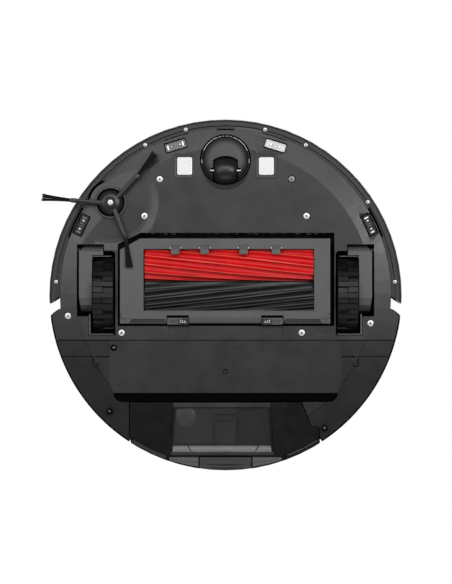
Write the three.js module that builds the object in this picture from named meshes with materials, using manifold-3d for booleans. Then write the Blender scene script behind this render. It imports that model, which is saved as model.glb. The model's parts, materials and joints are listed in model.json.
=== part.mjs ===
// Round robot vacuum cleaner with a laser turret, standing on its wheels.
// Millimetres, +Z up. The floor is z = 0, the front bumper faces -Y, and the dust bin slides out toward +Y.
// The body's axis is the Z axis. "Left" parts lie at -X and "right" parts at +X.
import * as THREE from "three";
import { ConvexGeometry } from "three/addons/geometries/ConvexGeometry.js";
import { mergeVertices } from "three/addons/utils/BufferGeometryUtils.js";
import Module from "manifold-3d";

const wasm = await Module();
wasm.setup();

// ---------------------------------------------------------------- driving dimensions
const bodyRadius = 177.6;
const roundSteps = 72; // sides of the large circles

const plateZ = 11; // underside of the flat bottom plate
const plateThickness = 2.5;
const flatRadius = 147; // the plate is flat inside this radius and slopes up outside it
const edgeSlope = 0.256; // rise per millimetre outside the flat part
const edgeRadius = 166.5; // edge of the plate behind the bumper
const rearEdgeRadius = bodyRadius - 1.7; // edge of the plate under the rear shell
const seamY = 46.4; // joint between the front chassis and the rear base plate
const seamGap = 0.6;

const bumperRadius = 177.4;
const bumperY = 1.5; // centre of the bumper's arc
const bumperBottomZ = 19.5;
const bumperTopZ = 74.4;
const lipRadius = 164.8; // inner edge of the bumper's bottom lip
const innerWallRadius = 166; // wall of the body behind the bumper
const innerWallY = 8;
const shellBottomZ = 21.4;
const shellTopZ = 75.2;
const notchY = 15; // the rear shell starts here, behind the ends of the bumper

const deckRadius = 169.8;
const deckZ = 79.5;
const totalHeight = 96.5;

const wheelRadius = 36.5;
const wheelY = 1.2;
const wheelX = 122.8;
const treadWidth = 21;
const pivot = { y: -44, z: 25 }; // hinge of each wheel's swing arm

const casterY = -134.7; // swivel axis of the caster
const casterRadius = 24.4;
const casterWellRadius = 25.7;
const casterWheelRadius = 13.5;
const casterWheelY = -123.8;

const hub = { x: -115.2, y: -91.7 }; // axis of the side brush
const socketRadius = 14.3; // hole in the chassis that the side brush turns in
const stemEnd = 39.6;
// Each arm: the direction of its stem and of its bristles in degrees from +X,
// how far the stem is off centre, and the length of the bristles.
const arms = [
  { stem: 184.9, bristles: 185.6, shift: 1.2, length: 26.6 },
  { stem: 312.9, bristles: 308.4, shift: -1.8, length: 27.4 },
  { stem: 68.1, bristles: 82.6, shift: 0.9, length: 29.6 },
];

const rollerRadius = 16.8;
const rollerZ = 18.6;
const frontRollerY = -30;
const rearRollerY = 4;
const rollerEnds = [-81.5, 88.7];
const guardZ = 5.5;
const guardThickness = 3;

const binFrontY = 108.9;
const binZ = [13, 67];
const lidarY = 38;

// ---------------------------------------------------------------- solids and shapes
// A geometry as a solid, without its normals and texture coordinates.
function toSolid(geometry) {
  const bare = geometry.index ? geometry.toNonIndexed() : geometry.clone();
  bare.deleteAttribute("normal");
  bare.deleteAttribute("uv");
  const merged = mergeVertices(bare, 1e-4);
  return new wasm.Manifold(
    new wasm.Mesh({
      numProp: 3,
      vertProperties: merged.attributes.position.array,
      triVerts: new Uint32Array(merged.index.array),
    }),
  );
}

// A solid as a flat-shaded geometry.
function toGeometry(solid) {
  const mesh = solid.getMesh();
  const geometry = new THREE.BufferGeometry();
  geometry.setAttribute("position", new THREE.BufferAttribute(new Float32Array(mesh.vertProperties), 3));
  geometry.setIndex(new THREE.BufferAttribute(new Uint32Array(mesh.triVerts), 1));
  const flat = geometry.toNonIndexed();
  flat.computeVertexNormals();
  return flat;
}

function join(...geometries) {
  return toGeometry(geometries.map(toSolid).reduce((all, next) => all.add(next)));
}

function cut(geometry, ...tools) {
  return toGeometry(tools.map(toSolid).reduce((left, tool) => left.subtract(tool), toSolid(geometry)));
}

function common(geometry, other) {
  return toGeometry(toSolid(geometry).intersect(toSolid(other)));
}

function block(x0, x1, y0, y1, z0, z1) {
  const geometry = new THREE.BoxGeometry(x1 - x0, y1 - y0, z1 - z0);
  return geometry.translate((x0 + x1) / 2, (y0 + y1) / 2, (z0 + z1) / 2);
}

function toShape(points) {
  return new THREE.Shape(points.map(([x, y]) => new THREE.Vector2(x, y)));
}

// An outline in plan, as [x, y] points, raised from z0 to z1.
function prism(points, z0, z1) {
  const geometry = new THREE.ExtrudeGeometry(toShape(points), { depth: z1 - z0, bevelEnabled: false });
  return geometry.translate(0, 0, z0);
}

// Turns an extrusion so that its plan lies in the Y-Z plane and its length runs along X.
const planToSide = new THREE.Matrix4().makeBasis(
  new THREE.Vector3(0, 1, 0),
  new THREE.Vector3(0, 0, 1),
  new THREE.Vector3(1, 0, 0),
);

// A side outline, as [y, z] points, run along X from x0 to x1.
function sidePrism(points, x0, x1) {
  const geometry = new THREE.ExtrudeGeometry(toShape(points), { depth: x1 - x0, bevelEnabled: false });
  return geometry.applyMatrix4(planToSide).translate(x0, 0, 0);
}

// A closed profile of [radius, z] points turned about the vertical line through (x, y).
function turned(profile, steps = roundSteps, x = 0, y = 0) {
  const points = profile.map(([radius, z]) => new THREE.Vector2(radius, z));
  return new THREE.LatheGeometry(points, steps).rotateX(Math.PI / 2).translate(x, y, 0);
}

// A closed profile of [radius, x] points turned about the line along X through (y, z).
function turnedAcross(profile, steps, y, z) {
  return turned(profile, steps).rotateY(Math.PI / 2).translate(0, y, z);
}

// A round bar along X, centred on the line through (y, z).
function bar(radius, x0, x1, steps, y, z) {
  return turnedAcross([[0, x0], [radius, x0], [radius, x1], [0, x1]], steps, y, z);
}

function disc(radius, z0, z1, steps = 24, x = 0, y = 0) {
  return new THREE.CylinderGeometry(radius, radius, z1 - z0, steps)
    .rotateX(Math.PI / 2)
    .translate(x, y, (z0 + z1) / 2);
}

function ring(inner, outer, z0, z1, steps = roundSteps, x = 0, y = 0) {
  return turned([[inner, z0], [outer, z0], [outer, z1], [inner, z1], [inner, z0]], steps, x, y);
}

// Points along an arc, angles in degrees from +X.
function arc(radius, from, to, steps, x = 0, y = 0) {
  return Array.from({ length: steps + 1 }, (_, i) => {
    const angle = THREE.MathUtils.degToRad(from + ((to - from) * i) / steps);
    return [x + radius * Math.cos(angle), y + radius * Math.sin(angle)];
  });
}

// The outline of a ring's sector.
function sector(inner, outer, from, to, steps, x = 0, y = 0) {
  return [...arc(outer, from, to, steps, x, y), ...arc(inner, to, from, steps, x, y)];
}

// A rectangle with rounded corners, centred on the origin.
function roundedRectangle(width, length, radius, steps = 3) {
  const x = width / 2 - radius;
  const y = length / 2 - radius;
  return [
    ...arc(radius, 0, 90, steps, x, y),
    ...arc(radius, 90, 180, steps, -x, y),
    ...arc(radius, 180, 270, steps, -x, -y),
    ...arc(radius, 270, 360, steps, x, -y),
  ];
}

function placed(geometry, x, y, degrees = 0) {
  return geometry.clone().rotateZ(THREE.MathUtils.degToRad(degrees)).translate(x, y, 0);
}

// An outline mirrored to the other side of the body.
function mirroredOutline(points) {
  return points.map(([x, y]) => [-x, y]).reverse();
}

// Boxes longer than the body, for cutting away everything behind or in front of a line.
function behind(y) {
  return block(-200, 200, y, 200, -1, 100);
}

function inFrontOf(y) {
  return block(-200, 200, -200, y, -1, 100);
}

// ---------------------------------------------------------------- materials
function plastic(colour, roughness) {
  return new THREE.MeshStandardMaterial({ color: colour, roughness, metalness: 0 });
}

function metal(colour, roughness) {
  return new THREE.MeshStandardMaterial({ color: colour, roughness, metalness: 1 });
}

const charcoal = plastic(0x3f3f42, 0.55);
const darkPanel = plastic(0x333335, 0.5);
const shellGrey = plastic(0x4a4a4d, 0.45);
const frameGrey = plastic(0x66666a, 0.5);
const blackPlastic = plastic(0x18181a, 0.4);
const glossBlack = plastic(0x0f0f11, 0.15);
const tankSmoke = plastic(0x38393b, 0.2);
const tyreRubber = plastic(0x2c2c2e, 0.85);
const redRubber = plastic(0xc01a1c, 0.45);
const blackRubber = plastic(0x1d1d1f, 0.5);
const bristle = plastic(0x0c0c0c, 0.8);
const boardGreen = plastic(0x14532d, 0.6);
const cellBlue = plastic(0x1f3a6b, 0.5);
const filterWhite = plastic(0xd8d8d2, 0.9);
const lightPlastic = plastic(0xdedede, 0.35);
const steel = metal(0xc8c8cc, 0.3);
const contactMetal = metal(0xe6e6e2, 0.25);

const vacuum = new THREE.Group();
vacuum.name = "robot_vacuum";

function addGroup(name, parent = vacuum) {
  const group = new THREE.Group();
  group.name = name;
  parent.add(group);
  return group;
}

function addPart(parent, name, geometry, material) {
  const mesh = new THREE.Mesh(geometry, material);
  mesh.name = name;
  parent.add(mesh);
  return mesh;
}

// ---------------------------------------------------------------- outlines of the openings underneath
const brushCavity = [
  [-85, -61.3],
  [109.1, -61.3],
  [109.1, 32],
  [-107.9, 32],
  [-107.9, -49.9],
];

const rightWheelWell = [
  [113, -43.2],
  [122, -43.2],
  [122, -49.7],
  [149.1, -49.7],
  [149.1, 22.4],
  [137.3, 22.4],
  [137.3, 41.4],
  [110.5, 41.4],
  [110.5, -40.5],
];

const rightWellOutside = [
  [108.9, -51.3],
  [150.7, -51.3],
  [150.7, 24],
  [138.9, 24],
  [138.9, 43],
  [108.9, 43],
];

const cavityOutside = [
  [-86, -62.9],
  [110.5, -62.9],
  [110.5, 33.6],
  [-109.5, 33.6],
  [-109.5, -51],
];

// Each cliff sensor: its centre and the turn of its long side, in degrees.
const cliffSensors = [
  { name: "front_left_cliff_sensor", x: -50.1, y: -148.9, turn: -17 },
  { name: "front_right_cliff_sensor", x: 50.1, y: -148.9, turn: 17 },
  { name: "left_cliff_sensor", x: -144.6, y: -69.4, turn: -65 },
  { name: "right_cliff_sensor", x: 144.6, y: -69.4, turn: 65 },
];

const chassisScrews = [
  [-66, -115.3],
  [66.4, -115.3],
  [-81.3, -78.3],
  [81.3, -78.3],
  [-158.1, 22],
  [145.5, 29.3],
  [-104.3, 38.9],
  [76.5, 38.8],
];

// Deep screw holes in the rear base plate.
const deepHoles = [
  [-112, 54],
  [-116.4, 117.9],
  [99.4, 134.7],
];

const contactX = 41;
const contactY = -128.3;

// ---------------------------------------------------------------- chassis
// Height of the bottom plate's underside.
function undersideZ(x, y) {
  return plateZ + Math.max(0, Math.hypot(x, y) - flatRadius) * edgeSlope;
}

// The saucer-shaped bottom: flat in the middle, sloping up to its edge.
function bottomDish(outerRadius) {
  const outerZ = undersideZ(outerRadius, 0);
  return turned([
    [0, plateZ],
    [flatRadius, plateZ],
    [outerRadius, outerZ],
    [outerRadius, outerZ + plateThickness],
    [flatRadius - 1, plateZ + plateThickness],
    [0, plateZ + plateThickness],
  ]);
}

// The space under the plate. Walls are trimmed with it so that they end flush with the underside.
function belowPlate() {
  const outerRadius = 190;
  return turned([
    [0, 0],
    [outerRadius, 0],
    [outerRadius, undersideZ(outerRadius, 0)],
    [flatRadius, plateZ],
    [0, plateZ],
  ]);
}

// The plate's flanks behind the notches, which reach out under the rear shell.
function bottomFlanks() {
  const corner = [
    [edgeRadius, notchY - 8],
    [190, notchY - 8],
    [190, notchY + 8.4],
    [174.3, notchY + 8.4],
    [173.4, notchY + 6.8],
    [171.6, notchY + 4.6],
    [168.6, notchY + 2],
    [edgeRadius, notchY + 0.6],
  ];
  return cut(
    bottomDish(rearEdgeRadius),
    inFrontOf(notchY + 0.6),
    prism(corner, -1, 100),
    prism(mirroredOutline(corner), -1, 100),
  );
}

// Sloping facets beside the right-hand cliff sensors: corners with the depth of each.
const sensorFacets = [
  [[40.9, -156.5, 1.4], [25.3, -159.2, -0.2], [31.8, -140.4, -0.2], [56, -140.2, 1.3], [50, -149, 1.7]],
  [[144.6, -81.7, 1.3], [133.8, -80.6, -0.2], [135.2, -76, 1.3], [144, -74, 1.6]],
  [[154, -61.5, 1.3], [146.3, -52.2, -0.2], [143.4, -58.6, 1.3], [148, -66, 1.6]],
];

function facet(corners) {
  const points = corners.flatMap(([x, y, depth]) => [
    new THREE.Vector3(x, y, 5),
    new THREE.Vector3(x, y, undersideZ(x, y) + depth),
  ]);
  return new ConvexGeometry(points);
}

// The tools that sink the cliff sensors and the facets beside them into the plate.
function sensorPockets() {
  const hole = prism(roundedRectangle(22.4, 10.4, 1.2), 5, 25);
  const holes = cliffSensors.map(({ x, y, turn }) => placed(hole, x, y, turn));
  const facets = sensorFacets.flatMap((corners) => [facet(corners), facet(mirroredOutline(corners))]);
  return [...holes, ...facets];
}

const contactPocketOutline = roundedRectangle(19.4, 22.2, 1.6);

function contactPockets() {
  const pocket = prism(contactPocketOutline, 5, 12.3);
  return [-contactX, contactX].map((x) => placed(pocket, x, contactY));
}

// The raised borders round the charging contacts.
function contactBorders() {
  const outside = prism(roundedRectangle(22.4, 25.2, 2.8), 10.3, 11.6);
  const border = cut(outside, prism(contactPocketOutline, 5, 13));
  return [-contactX, contactX].map((x) => placed(border, x, contactY));
}

// The shallow round depression that the side brush sweeps in, with its hole and crescent slot.
function sideBrushTools() {
  const ramp = [[50, 5], [50, 10.9], [47.4, 11.1], [44.6, 11.5], [41, 12], [37, 12.2]];
  const depression = turned([[0, 5], ...ramp, [0, 12.2]], 48, hub.x, hub.y);
  const outwardSlope = sidePrism([[-12, 5], [60, 5], [60, 22.8], [-2.5, 12.2], [-12, 12.2]], -50, 50);
  const outward = THREE.MathUtils.radToDeg(Math.atan2(hub.y, hub.x)) - 90;
  const reach = disc(49.8, 5, 25, 48, hub.x, hub.y);
  const edgeDepression = common(placed(outwardSlope, hub.x, hub.y, outward), reach);
  const socket = disc(socketRadius, 5, 25, 32, hub.x, hub.y);
  return [depression, edgeDepression, socket];
}

function chassisBase() {
  const leftWellOutside = mirroredOutline(rightWellOutside);
  const leftWheelWell = mirroredOutline(rightWheelWell);
  const outside = join(
    bottomDish(edgeRadius),
    bottomFlanks(),
    disc(21.2, 12.3, 18.9, 32, hub.x, hub.y),
    cut(
      join(
        prism(cavityOutside, 12, 52),
        prism(rightWellOutside, 12, 72),
        prism(leftWellOutside, 12, 72),
        disc(casterWellRadius + 1.5, 12, 33, 40, 0, casterY),
      ),
      belowPlate(),
    ),
  );
  const collar = ring(socketRadius, 16.2, 9.6, 16.6, 32, hub.x, hub.y);
  const fingerPads = [-47, 47].map((x) => placed(prism(roundedRectangle(21, 10.4, 1.5), 5, 12.2), x, 37.9));
  const screwHoles = chassisScrews.map(([x, y]) => disc(3.9, 5, 25, 16, x, y));
  const pivotHoles = [-1, 1].map((side) =>
    bar(2.7, 0, 12, 12, pivot.y, pivot.z).translate(side * 150 - 6, 0, 0),
  );
  const shell = cut(
    outside,
    behind(seamY - seamGap / 2),
    prism(brushCavity, 5, 80),
    prism(rightWheelWell, 5, 80),
    prism(leftWheelWell, 5, 80),
    disc(casterWellRadius, 5, 31.2, 40, 0, casterY),
    disc(23.9, 5, 12.3, 40, 0, casterY + 6.4),
    disc(5.6, 30, 40, 20, 0, casterY),
    block(-33, 33, 28, 38, 24, 46.5),
    ...contactPockets(),
    ...sensorPockets(),
    ...sideBrushTools(),
    ...screwHoles,
    ...fingerPads,
    ...pivotHoles,
  );
  return join(shell, collar, ...contactBorders());
}

// The rear half of the bottom: a raised middle panel, two sloping wings, and the walls of the bin's bay.
function rearBasePlate() {
  const panel = [[-115.6, seamY], [115.6, seamY], [115.6, 92], [112.4, 99], [-112.4, 99], [-115.6, 92]];
  const bayWalls = join(
    block(-112, 112, 97, 99.2, 12, 64),
    block(-99, -97.2, 97, 136, 12, 64),
    block(102.4, 104.2, 97, 130, 12, 64),
  );
  const wingsAndPanel = join(
    bottomDish(rearEdgeRadius),
    prism(panel, plateZ - 0.7, 12),
    cut(bayWalls, belowPlate()),
  );
  const bay = [
    [-96.8, 107],
    [77, 107],
    [77, 108.3],
    [86.4, 133.3],
    [93.5, 133.3],
    [95.9, 147],
    [96.4, 190],
    [-97, 190],
    [-96.8, 147],
  ];
  const slot = [
    [-112.2, 99.4],
    [112.4, 99.4],
    ...arc(8, 0, 90, 4, 104.4, 100.3),
    ...arc(8, 90, 180, 4, -104.2, 100.3),
  ];
  const darkHoles = deepHoles.map(([x, y]) => disc(3.2, 5, 12.9, 16, x, y));
  const panelDimple = turned([[0, 5], [2.6, 5], [2.6, 10.7], [1.4, 11.8], [0, 11.8]], 16, 0, 77.4);
  const hook = [
    [134.4, 62.4],
    [180, 62.4],
    [180, 63],
    [129, 63],
    [129, 66.4],
    [131.4, 67.6],
    [132.6, 70.4],
    [131, 73.4],
    [127.6, 73.8],
    [127.6, 73.2],
    [130.6, 72.8],
    [131.8, 70.4],
    [130.8, 68.2],
    [128.4, 67],
    [128.4, 62.4],
  ];
  const panelStep = [[115.8, 62.4], [125, 62.4], [125, 63], [115.8, 63]];
  const creaseDepth = turned([[0, 5], [180, 5], [180, 20.1], [flatRadius, 11.6], [0, 11.6]]);
  const creases = [hook, panelStep]
    .flatMap((line) => [line, mirroredOutline(line)])
    .map((line) => common(prism(line, 5, 20), creaseDepth));
  return cut(
    wingsAndPanel,
    inFrontOf(seamY + seamGap / 2),
    prism(slot, 5, 20),
    prism(bay, 5, 80),
    block(-31, 31, 90, 105, 27, 43.5),
    block(41, 71, 90, 105, 29, 55),
    ...darkHoles,
    panelDimple,
    ...creases,
  );
}

// The side wall of the body: a wall behind the bumper at the front, and the outer shell at the rear.
function bodyShell() {
  const frontWall = cut(
    ring(innerWallRadius - 2.5, innerWallRadius, bumperBottomZ + 2.7, shellTopZ, roundSteps, 0, innerWallY),
    behind(notchY + 2.6),
    block(-30, 30, -200, 0, 0, 35),
  );
  const frontFlange = cut(
    ring(150, innerWallRadius, shellTopZ - 2.2, shellTopZ, roundSteps, 0, innerWallY),
    behind(notchY + 7.6),
  );
  const rearSection = turned([
    [bodyRadius - 2.6, shellBottomZ],
    [bodyRadius - 1.1, shellBottomZ],
    [bodyRadius, shellBottomZ + 1.2],
    [bodyRadius, 70],
    [bodyRadius - 1.4, 73.6],
    [bodyRadius - 4.2, shellTopZ],
    [150, shellTopZ],
    [150, shellTopZ - 2.2],
    [bodyRadius - 5.2, shellTopZ - 2.2],
    [bodyRadius - 2.6, 69.5],
    [bodyRadius - 2.6, shellBottomZ],
  ]);
  const rearShell = cut(rearSection, inFrontOf(notchY + 7.4));
  const rightWeb = [
    [innerWallRadius - 3, notchY],
    [167.4, notchY],
    [170, notchY + 1.4],
    [173.6, notchY + 4.2],
    [175.4, notchY + 5.9],
    [176.16, notchY + 7.6],
    [173.4, notchY + 7.6],
    [171.6, notchY + 5.4],
    [169, notchY + 3.4],
    [167, notchY + 2.8],
    [innerWallRadius - 3, notchY + 2.8],
  ];
  const webOutlines = [rightWeb, mirroredOutline(rightWeb)];
  const webs = webOutlines.map((outline) => prism(outline, shellBottomZ, shellTopZ));
  const binOpening = block(-97, 97, 100, 190, 0, binZ[1] + 0.5);
  const grilleOpening = prism(sector(165, 180, 20, 45, 6), 32, 58);
  return cut(join(frontWall, frontFlange, rearShell, ...webs), binOpening, grilleOpening);
}

// The curved exhaust grille in the right of the rear shell, with upright slots.
function exhaustGrille() {
  const slots = Array.from({ length: 6 }, (_, i) => {
    const angle = 23.5 + i * 3.6;
    return block(165, 182, -2.3, 2.3, 36, 54).rotateZ(THREE.MathUtils.degToRad(angle));
  });
  return cut(prism(sector(bodyRadius - 2.3, bodyRadius, 20.2, 44.8, 6), 32.4, 57.6), ...slots);
}

const buttons = [
  { name: "spot_button", x: -27, y: -116, radius: 7 },
  { name: "power_button", x: 0, y: -119, radius: 9 },
  { name: "dock_button", x: 27, y: -116, radius: 7 },
];

const panelRadius = 148;

function topCover() {
  const cover = turned([
    [0, 76],
    [deckRadius, 75.6],
    [deckRadius, 77.4],
    [deckRadius - 2.2, deckZ],
    [panelRadius + 0.5, deckZ],
    [panelRadius + 0.5, 78],
    [0, 78],
  ]);
  return cut(cover, ...buttons.map(({ x, y, radius }) => disc(radius + 0.5, 70, 85, 20, x, y)));
}

function deckPanel() {
  const section = [[0, 78.2], [panelRadius, 78.2], [panelRadius, 79.4], [panelRadius - 1, 80], [0, 80]];
  return cut(
    turned(section),
    disc(49.6, 70, 90, 48, 0, lidarY),
    ...buttons.map(({ x, y, radius }) => disc(radius + 0.5, 70, 85, 20, x, y)),
  );
}

// A pan-head screw seen from below, with a crossed recess.
function crossScrew(x, y, headZ, radius, length) {
  const body = turned(
    [
      [0, 0],
      [radius * 0.8, 0],
      [radius, 0.5],
      [radius, 1.9],
      [radius * 0.45, 1.9],
      [radius * 0.45, length],
      [0, length],
    ],
    12,
  );
  const reach = radius * 0.58;
  const recess = [
    block(-reach, reach, -0.45, 0.45, -1, 0.9),
    block(-0.45, 0.45, -reach, reach, -1, 0.9),
  ];
  return cut(body, ...recess).rotateZ(x + y).translate(x, y, headZ);
}

function chargingContact(x) {
  const plate = new THREE.ExtrudeGeometry(toShape(roundedRectangle(13.6, 16.4, 1)), {
    depth: 0.8,
    bevelEnabled: true,
    bevelThickness: 0.6,
    bevelSize: 0.8,
    bevelSegments: 2,
  });
  return plate.translate(x, contactY, 10.9);
}

function cliffSensor({ x, y, turn }) {
  const eyes = [-5, 5].map((shift) => placed(disc(2.6, 10, 15.2, 12), shift, 0));
  const housing = cut(prism(roundedRectangle(21.6, 9.6, 2), 14, 19), ...eyes);
  return placed(housing, x, y, turn);
}

const chassis = addGroup("chassis");
addPart(chassis, "chassis_base", chassisBase(), charcoal);
addPart(chassis, "rear_base_plate", rearBasePlate(), darkPanel);
addPart(chassis, "body_shell", bodyShell(), shellGrey);
addPart(chassis, "exhaust_grille", exhaustGrille(), blackPlastic);
addPart(chassis, "top_cover", topCover(), shellGrey);
addPart(chassis, "deck_panel", deckPanel(), darkPanel);
addPart(chassis, "left_charging_contact", chargingContact(-contactX), contactMetal);
addPart(chassis, "right_charging_contact", chargingContact(contactX), contactMetal);
for (const sensor of cliffSensors) addPart(chassis, sensor.name, cliffSensor(sensor), glossBlack);
chassisScrews.forEach(([x, y], i) => {
  addPart(chassis, `chassis_screw_${i + 1}`, crossScrew(x, y, undersideZ(x, y) + 0.3, 3.4, 6), steel);
});

// ---------------------------------------------------------------- inside the body
function batteryPack() {
  const cells = [0, 1, 2, 3].map((i) => block(10 + i * 19.5, 29.2 + i * 19.5, -103.6, -66, 19, 61));
  return join(block(8, 89, -104, -65.6, 18, 23), block(8, 89, -104, -65.6, 58, 63), ...cells);
}

function mainBoard() {
  const chips = [
    block(-40, -22, -120, -102, 65, 68),
    block(-6, 14, -96, -76, 65, 69),
    block(34, 58, -120, -108, 65, 71),
    block(-52, -44, -92, -72, 65, 73),
  ];
  return join(block(-60, 70, -128, -66, 63.6, 65.2), ...chips);
}

function suctionFan() {
  const housing = turned([[9, 16], [24, 16], [24, 52], [20, 60], [9, 60], [9, 16]], 32, 75, 70);
  const core = disc(9.5, 20, 50, 20, 75, 70);
  const outlet = block(75, 104, 48, 62, 20, 40);
  return join(housing, core, outlet);
}

function suctionDuct() {
  const outer = block(-34, 34, 34.6, 96.6, 24.6, 46);
  return cut(outer, block(-31, 31, 30, 100, 27, 43.5));
}

// The gear case over the side brush, with its motor set further in.
function sideBrushMotor() {
  const drive = disc(9.5, 17.2, 24, 24, hub.x, hub.y);
  const link = placed(block(-9.5, 9.5, 0, 14, 19.4, 24), hub.x, hub.y, -38);
  const motor = disc(12, 19.4, 50, 24, hub.x + 9, hub.y + 11);
  return join(drive, link, motor);
}

addPart(chassis, "battery_pack", batteryPack(), cellBlue);
addPart(chassis, "main_board", mainBoard(), boardGreen);
addPart(chassis, "suction_fan", suctionFan(), blackPlastic);
addPart(chassis, "suction_duct", suctionDuct(), blackPlastic);
addPart(chassis, "side_brush_motor", sideBrushMotor(), blackPlastic);

// ---------------------------------------------------------------- bumper
function bumperRing(profile) {
  return turned(profile, roundSteps, 0, bumperY);
}

// What lies behind the slanted ends of the bumper.
function behindBumperEnds() {
  const slanted = [[-200, 27], [-168, 3], [168, 3], [200, 27], [200, 200], [-200, 200]];
  return prism(slanted, -1, 100);
}

function bumperShell() {
  const section = bumperRing([
    [lipRadius, bumperBottomZ],
    [170.4, bumperBottomZ],
    [170.4, bumperBottomZ + 0.7],
    [171, bumperBottomZ + 0.7],
    [171, bumperBottomZ],
    [bumperRadius - 2.7, bumperBottomZ],
    [bumperRadius - 0.7, bumperBottomZ + 1],
    [bumperRadius, bumperBottomZ + 3],
    [bumperRadius, 67],
    [bumperRadius - 0.9, 71.2],
    [bumperRadius - 3.7, bumperTopZ],
    [167, bumperTopZ],
    [167, bumperTopZ - 2],
    [bumperRadius - 4.9, bumperTopZ - 2.2],
    [bumperRadius - 2.9, 68],
    [bumperRadius - 2.9, bumperBottomZ + 2.4],
    [lipRadius, bumperBottomZ + 2],
    [lipRadius, bumperBottomZ],
  ]);
  const sideSlits = [200, 329].map((start) => prism(sector(160, 168.8, start, start + 11, 6), 15, 25));
  const brushSlit = disc(23.8, 15, 25, 32, hub.x, hub.y);
  const slitOutline = [[-9.4, -166], [-5, -166.6], [5, -166.6], [9.4, -166], [5, -164], [-5, -164]];
  const frontSlit = prism(slitOutline, 15, 25);
  const casterRelief = disc(casterWellRadius + 2.5, 15, 25, 40, 0, casterY - 3.4);
  const windowOpening = prism(sector(172, 180, 246, 294, 12, 0, bumperY), 40, 60);
  return cut(section, behindBumperEnds(), windowOpening, ...sideSlits, brushSlit, frontSlit, casterRelief);
}

function bumperWindow() {
  return prism(sector(bumperRadius - 2.7, bumperRadius, 246.15, 293.85, 14, 0, bumperY), 40.4, 59.6);
}

const bumper = addGroup("bumper");
addPart(bumper, "bumper_shell", bumperShell(), shellGrey);
addPart(bumper, "bumper_ir_window", bumperWindow(), glossBlack);

// ---------------------------------------------------------------- caster
function casterFork() {
  const drum = turned(
    [
      [0, 7.8],
      [9, 8.2],
      [15, 9],
      [19, 10.2],
      [22, 12.2],
      [23.7, 14.4],
      [casterRadius, 16.6],
      [casterRadius, 28],
      [22.5, 30.6],
      [5, 30.6],
      [5, 37],
      [0, 37],
    ],
    40,
    0,
    casterY,
  );
  const slotFront = arc(21.66, 235.1, 304.9, 6, 0, casterWheelY + 7.2);
  const wheelSlot = prism([...slotFront, [12.4, -100], [-12.4, -100]], 0, 28.4);
  const axleHole = bar(1.9, -30, 30, 12, casterWheelY, casterWheelRadius);
  return cut(drum, wheelSlot, axleHole);
}

function casterAxle() {
  return bar(1.5, -17.8, 17.8, 12, casterWheelY, casterWheelRadius);
}

function casterWheel() {
  const profile = [
    [1.95, -11.5],
    [10.4, -11.5],
    [12, -9.4],
    [13.1, -5.5],
    [casterWheelRadius, 0],
    [13.1, 5.5],
    [12, 9.4],
    [10.4, 11.5],
    [1.95, 11.5],
    [1.95, -11.5],
  ];
  return turnedAcross(profile, 22, casterWheelY, casterWheelRadius);
}

const caster = addGroup("caster");
addPart(caster, "caster_fork", casterFork(), shellGrey);
addPart(caster, "caster_axle", casterAxle(), steel);
addPart(caster, "caster_wheel", casterWheel(), blackPlastic);

// ---------------------------------------------------------------- drive wheels
// One side's gear case and swing arm, for the right wheel.
function gearbox() {
  const inner = wheelX + treadWidth / 2 + 0.6;
  const front = [
    [-49.4, 24.6],
    [-48.2, 20.8],
    [-47.1, 17.4],
    [-45.6, 13],
    [-42.8, 10.5],
  ];
  const side = [
    ...front,
    [4, 10.5],
    [11, 13],
    [16.6, 20],
    [18.8, 28],
    [19.2, 36.5],
    [17.5, 46.5],
    [11, 54.5],
    [0, 58],
    [-24, 58],
    [-40, 50],
    [-49.4, 38],
  ];
  const nose = [
    ...front,
    [-38.9, 10.5],
    [-38.9, 50],
    [-49.4, 38],
  ];
  const plan = [
    [120, -60],
    [141.2, -60],
    [141.2, -49.2],
    [147, -42.3],
    [147, 3],
    [145.6, 14.6],
    [144.6, 22],
    [120, 22],
  ];
  const outerX = 147;
  const body = join(sidePrism(side, inner, outerX), sidePrism(nose, wheelX, outerX));
  const housing = common(body, prism(plan, 0, 80));
  const pin = bar(2.2, 146, 150.4, 12, pivot.y, pivot.z);
  const bore = bar(5.4, 120, inner + 7, 16, wheelY, wheelRadius);
  return cut(join(housing, pin), bore);
}

function wheelHub() {
  const inner = wheelX - treadWidth / 2;
  const outer = wheelX + treadWidth / 2;
  const profile = [
    [0, inner + 5],
    [9, inner + 5],
    [9, inner + 8],
    [22, inner + 8],
    [24, inner + 0.8],
    [28.6, inner + 0.8],
    [28.6, outer - 0.8],
    [24, outer - 0.8],
    [22, outer - 6],
    [10, outer - 5],
    [5, outer - 5],
    [5, outer + 6.4],
    [0, outer + 6.4],
  ];
  return turnedAcross(profile, 22, wheelY, wheelRadius);
}

// The tyre's ribs, as an outline seen from the side.
function tyre() {
  const ribs = 22;
  const outline = [];
  for (let i = 0; i < ribs; i += 1) {
    const width = 180 / ribs;
    const start = 2 * width * i - 90 - width / 2;
    const crest = wheelRadius / Math.cos(THREE.MathUtils.degToRad(width / 2));
    outline.push(...arc(crest, start, start + width, 1));
    outline.push(...arc(wheelRadius - 1.8, start + width, start + 2 * width, 1));
  }
  const half = treadWidth / 2;
  const solid = sidePrism(outline, wheelX - half, wheelX + half).translate(0, wheelY, wheelRadius);
  const middle = bar(29, 100, 150, 28, wheelY, wheelRadius);
  return cut(solid, middle);
}

// The same part for the left side: mirrored, with its faces turned out again.
function mirrored(geometry) {
  return toGeometry(toSolid(geometry).mirror([1, 0, 0]));
}

const sides = { left: mirrored, right: (geometry) => geometry };
for (const [side, place] of Object.entries(sides)) {
  const group = addGroup(`${side}_drive`);
  addPart(group, `${side}_gearbox`, place(gearbox()), frameGrey);
  addPart(group, `${side}_wheel_hub`, place(wheelHub()), shellGrey);
  addPart(group, `${side}_tyre`, place(tyre()), tyreRubber);
}

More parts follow.
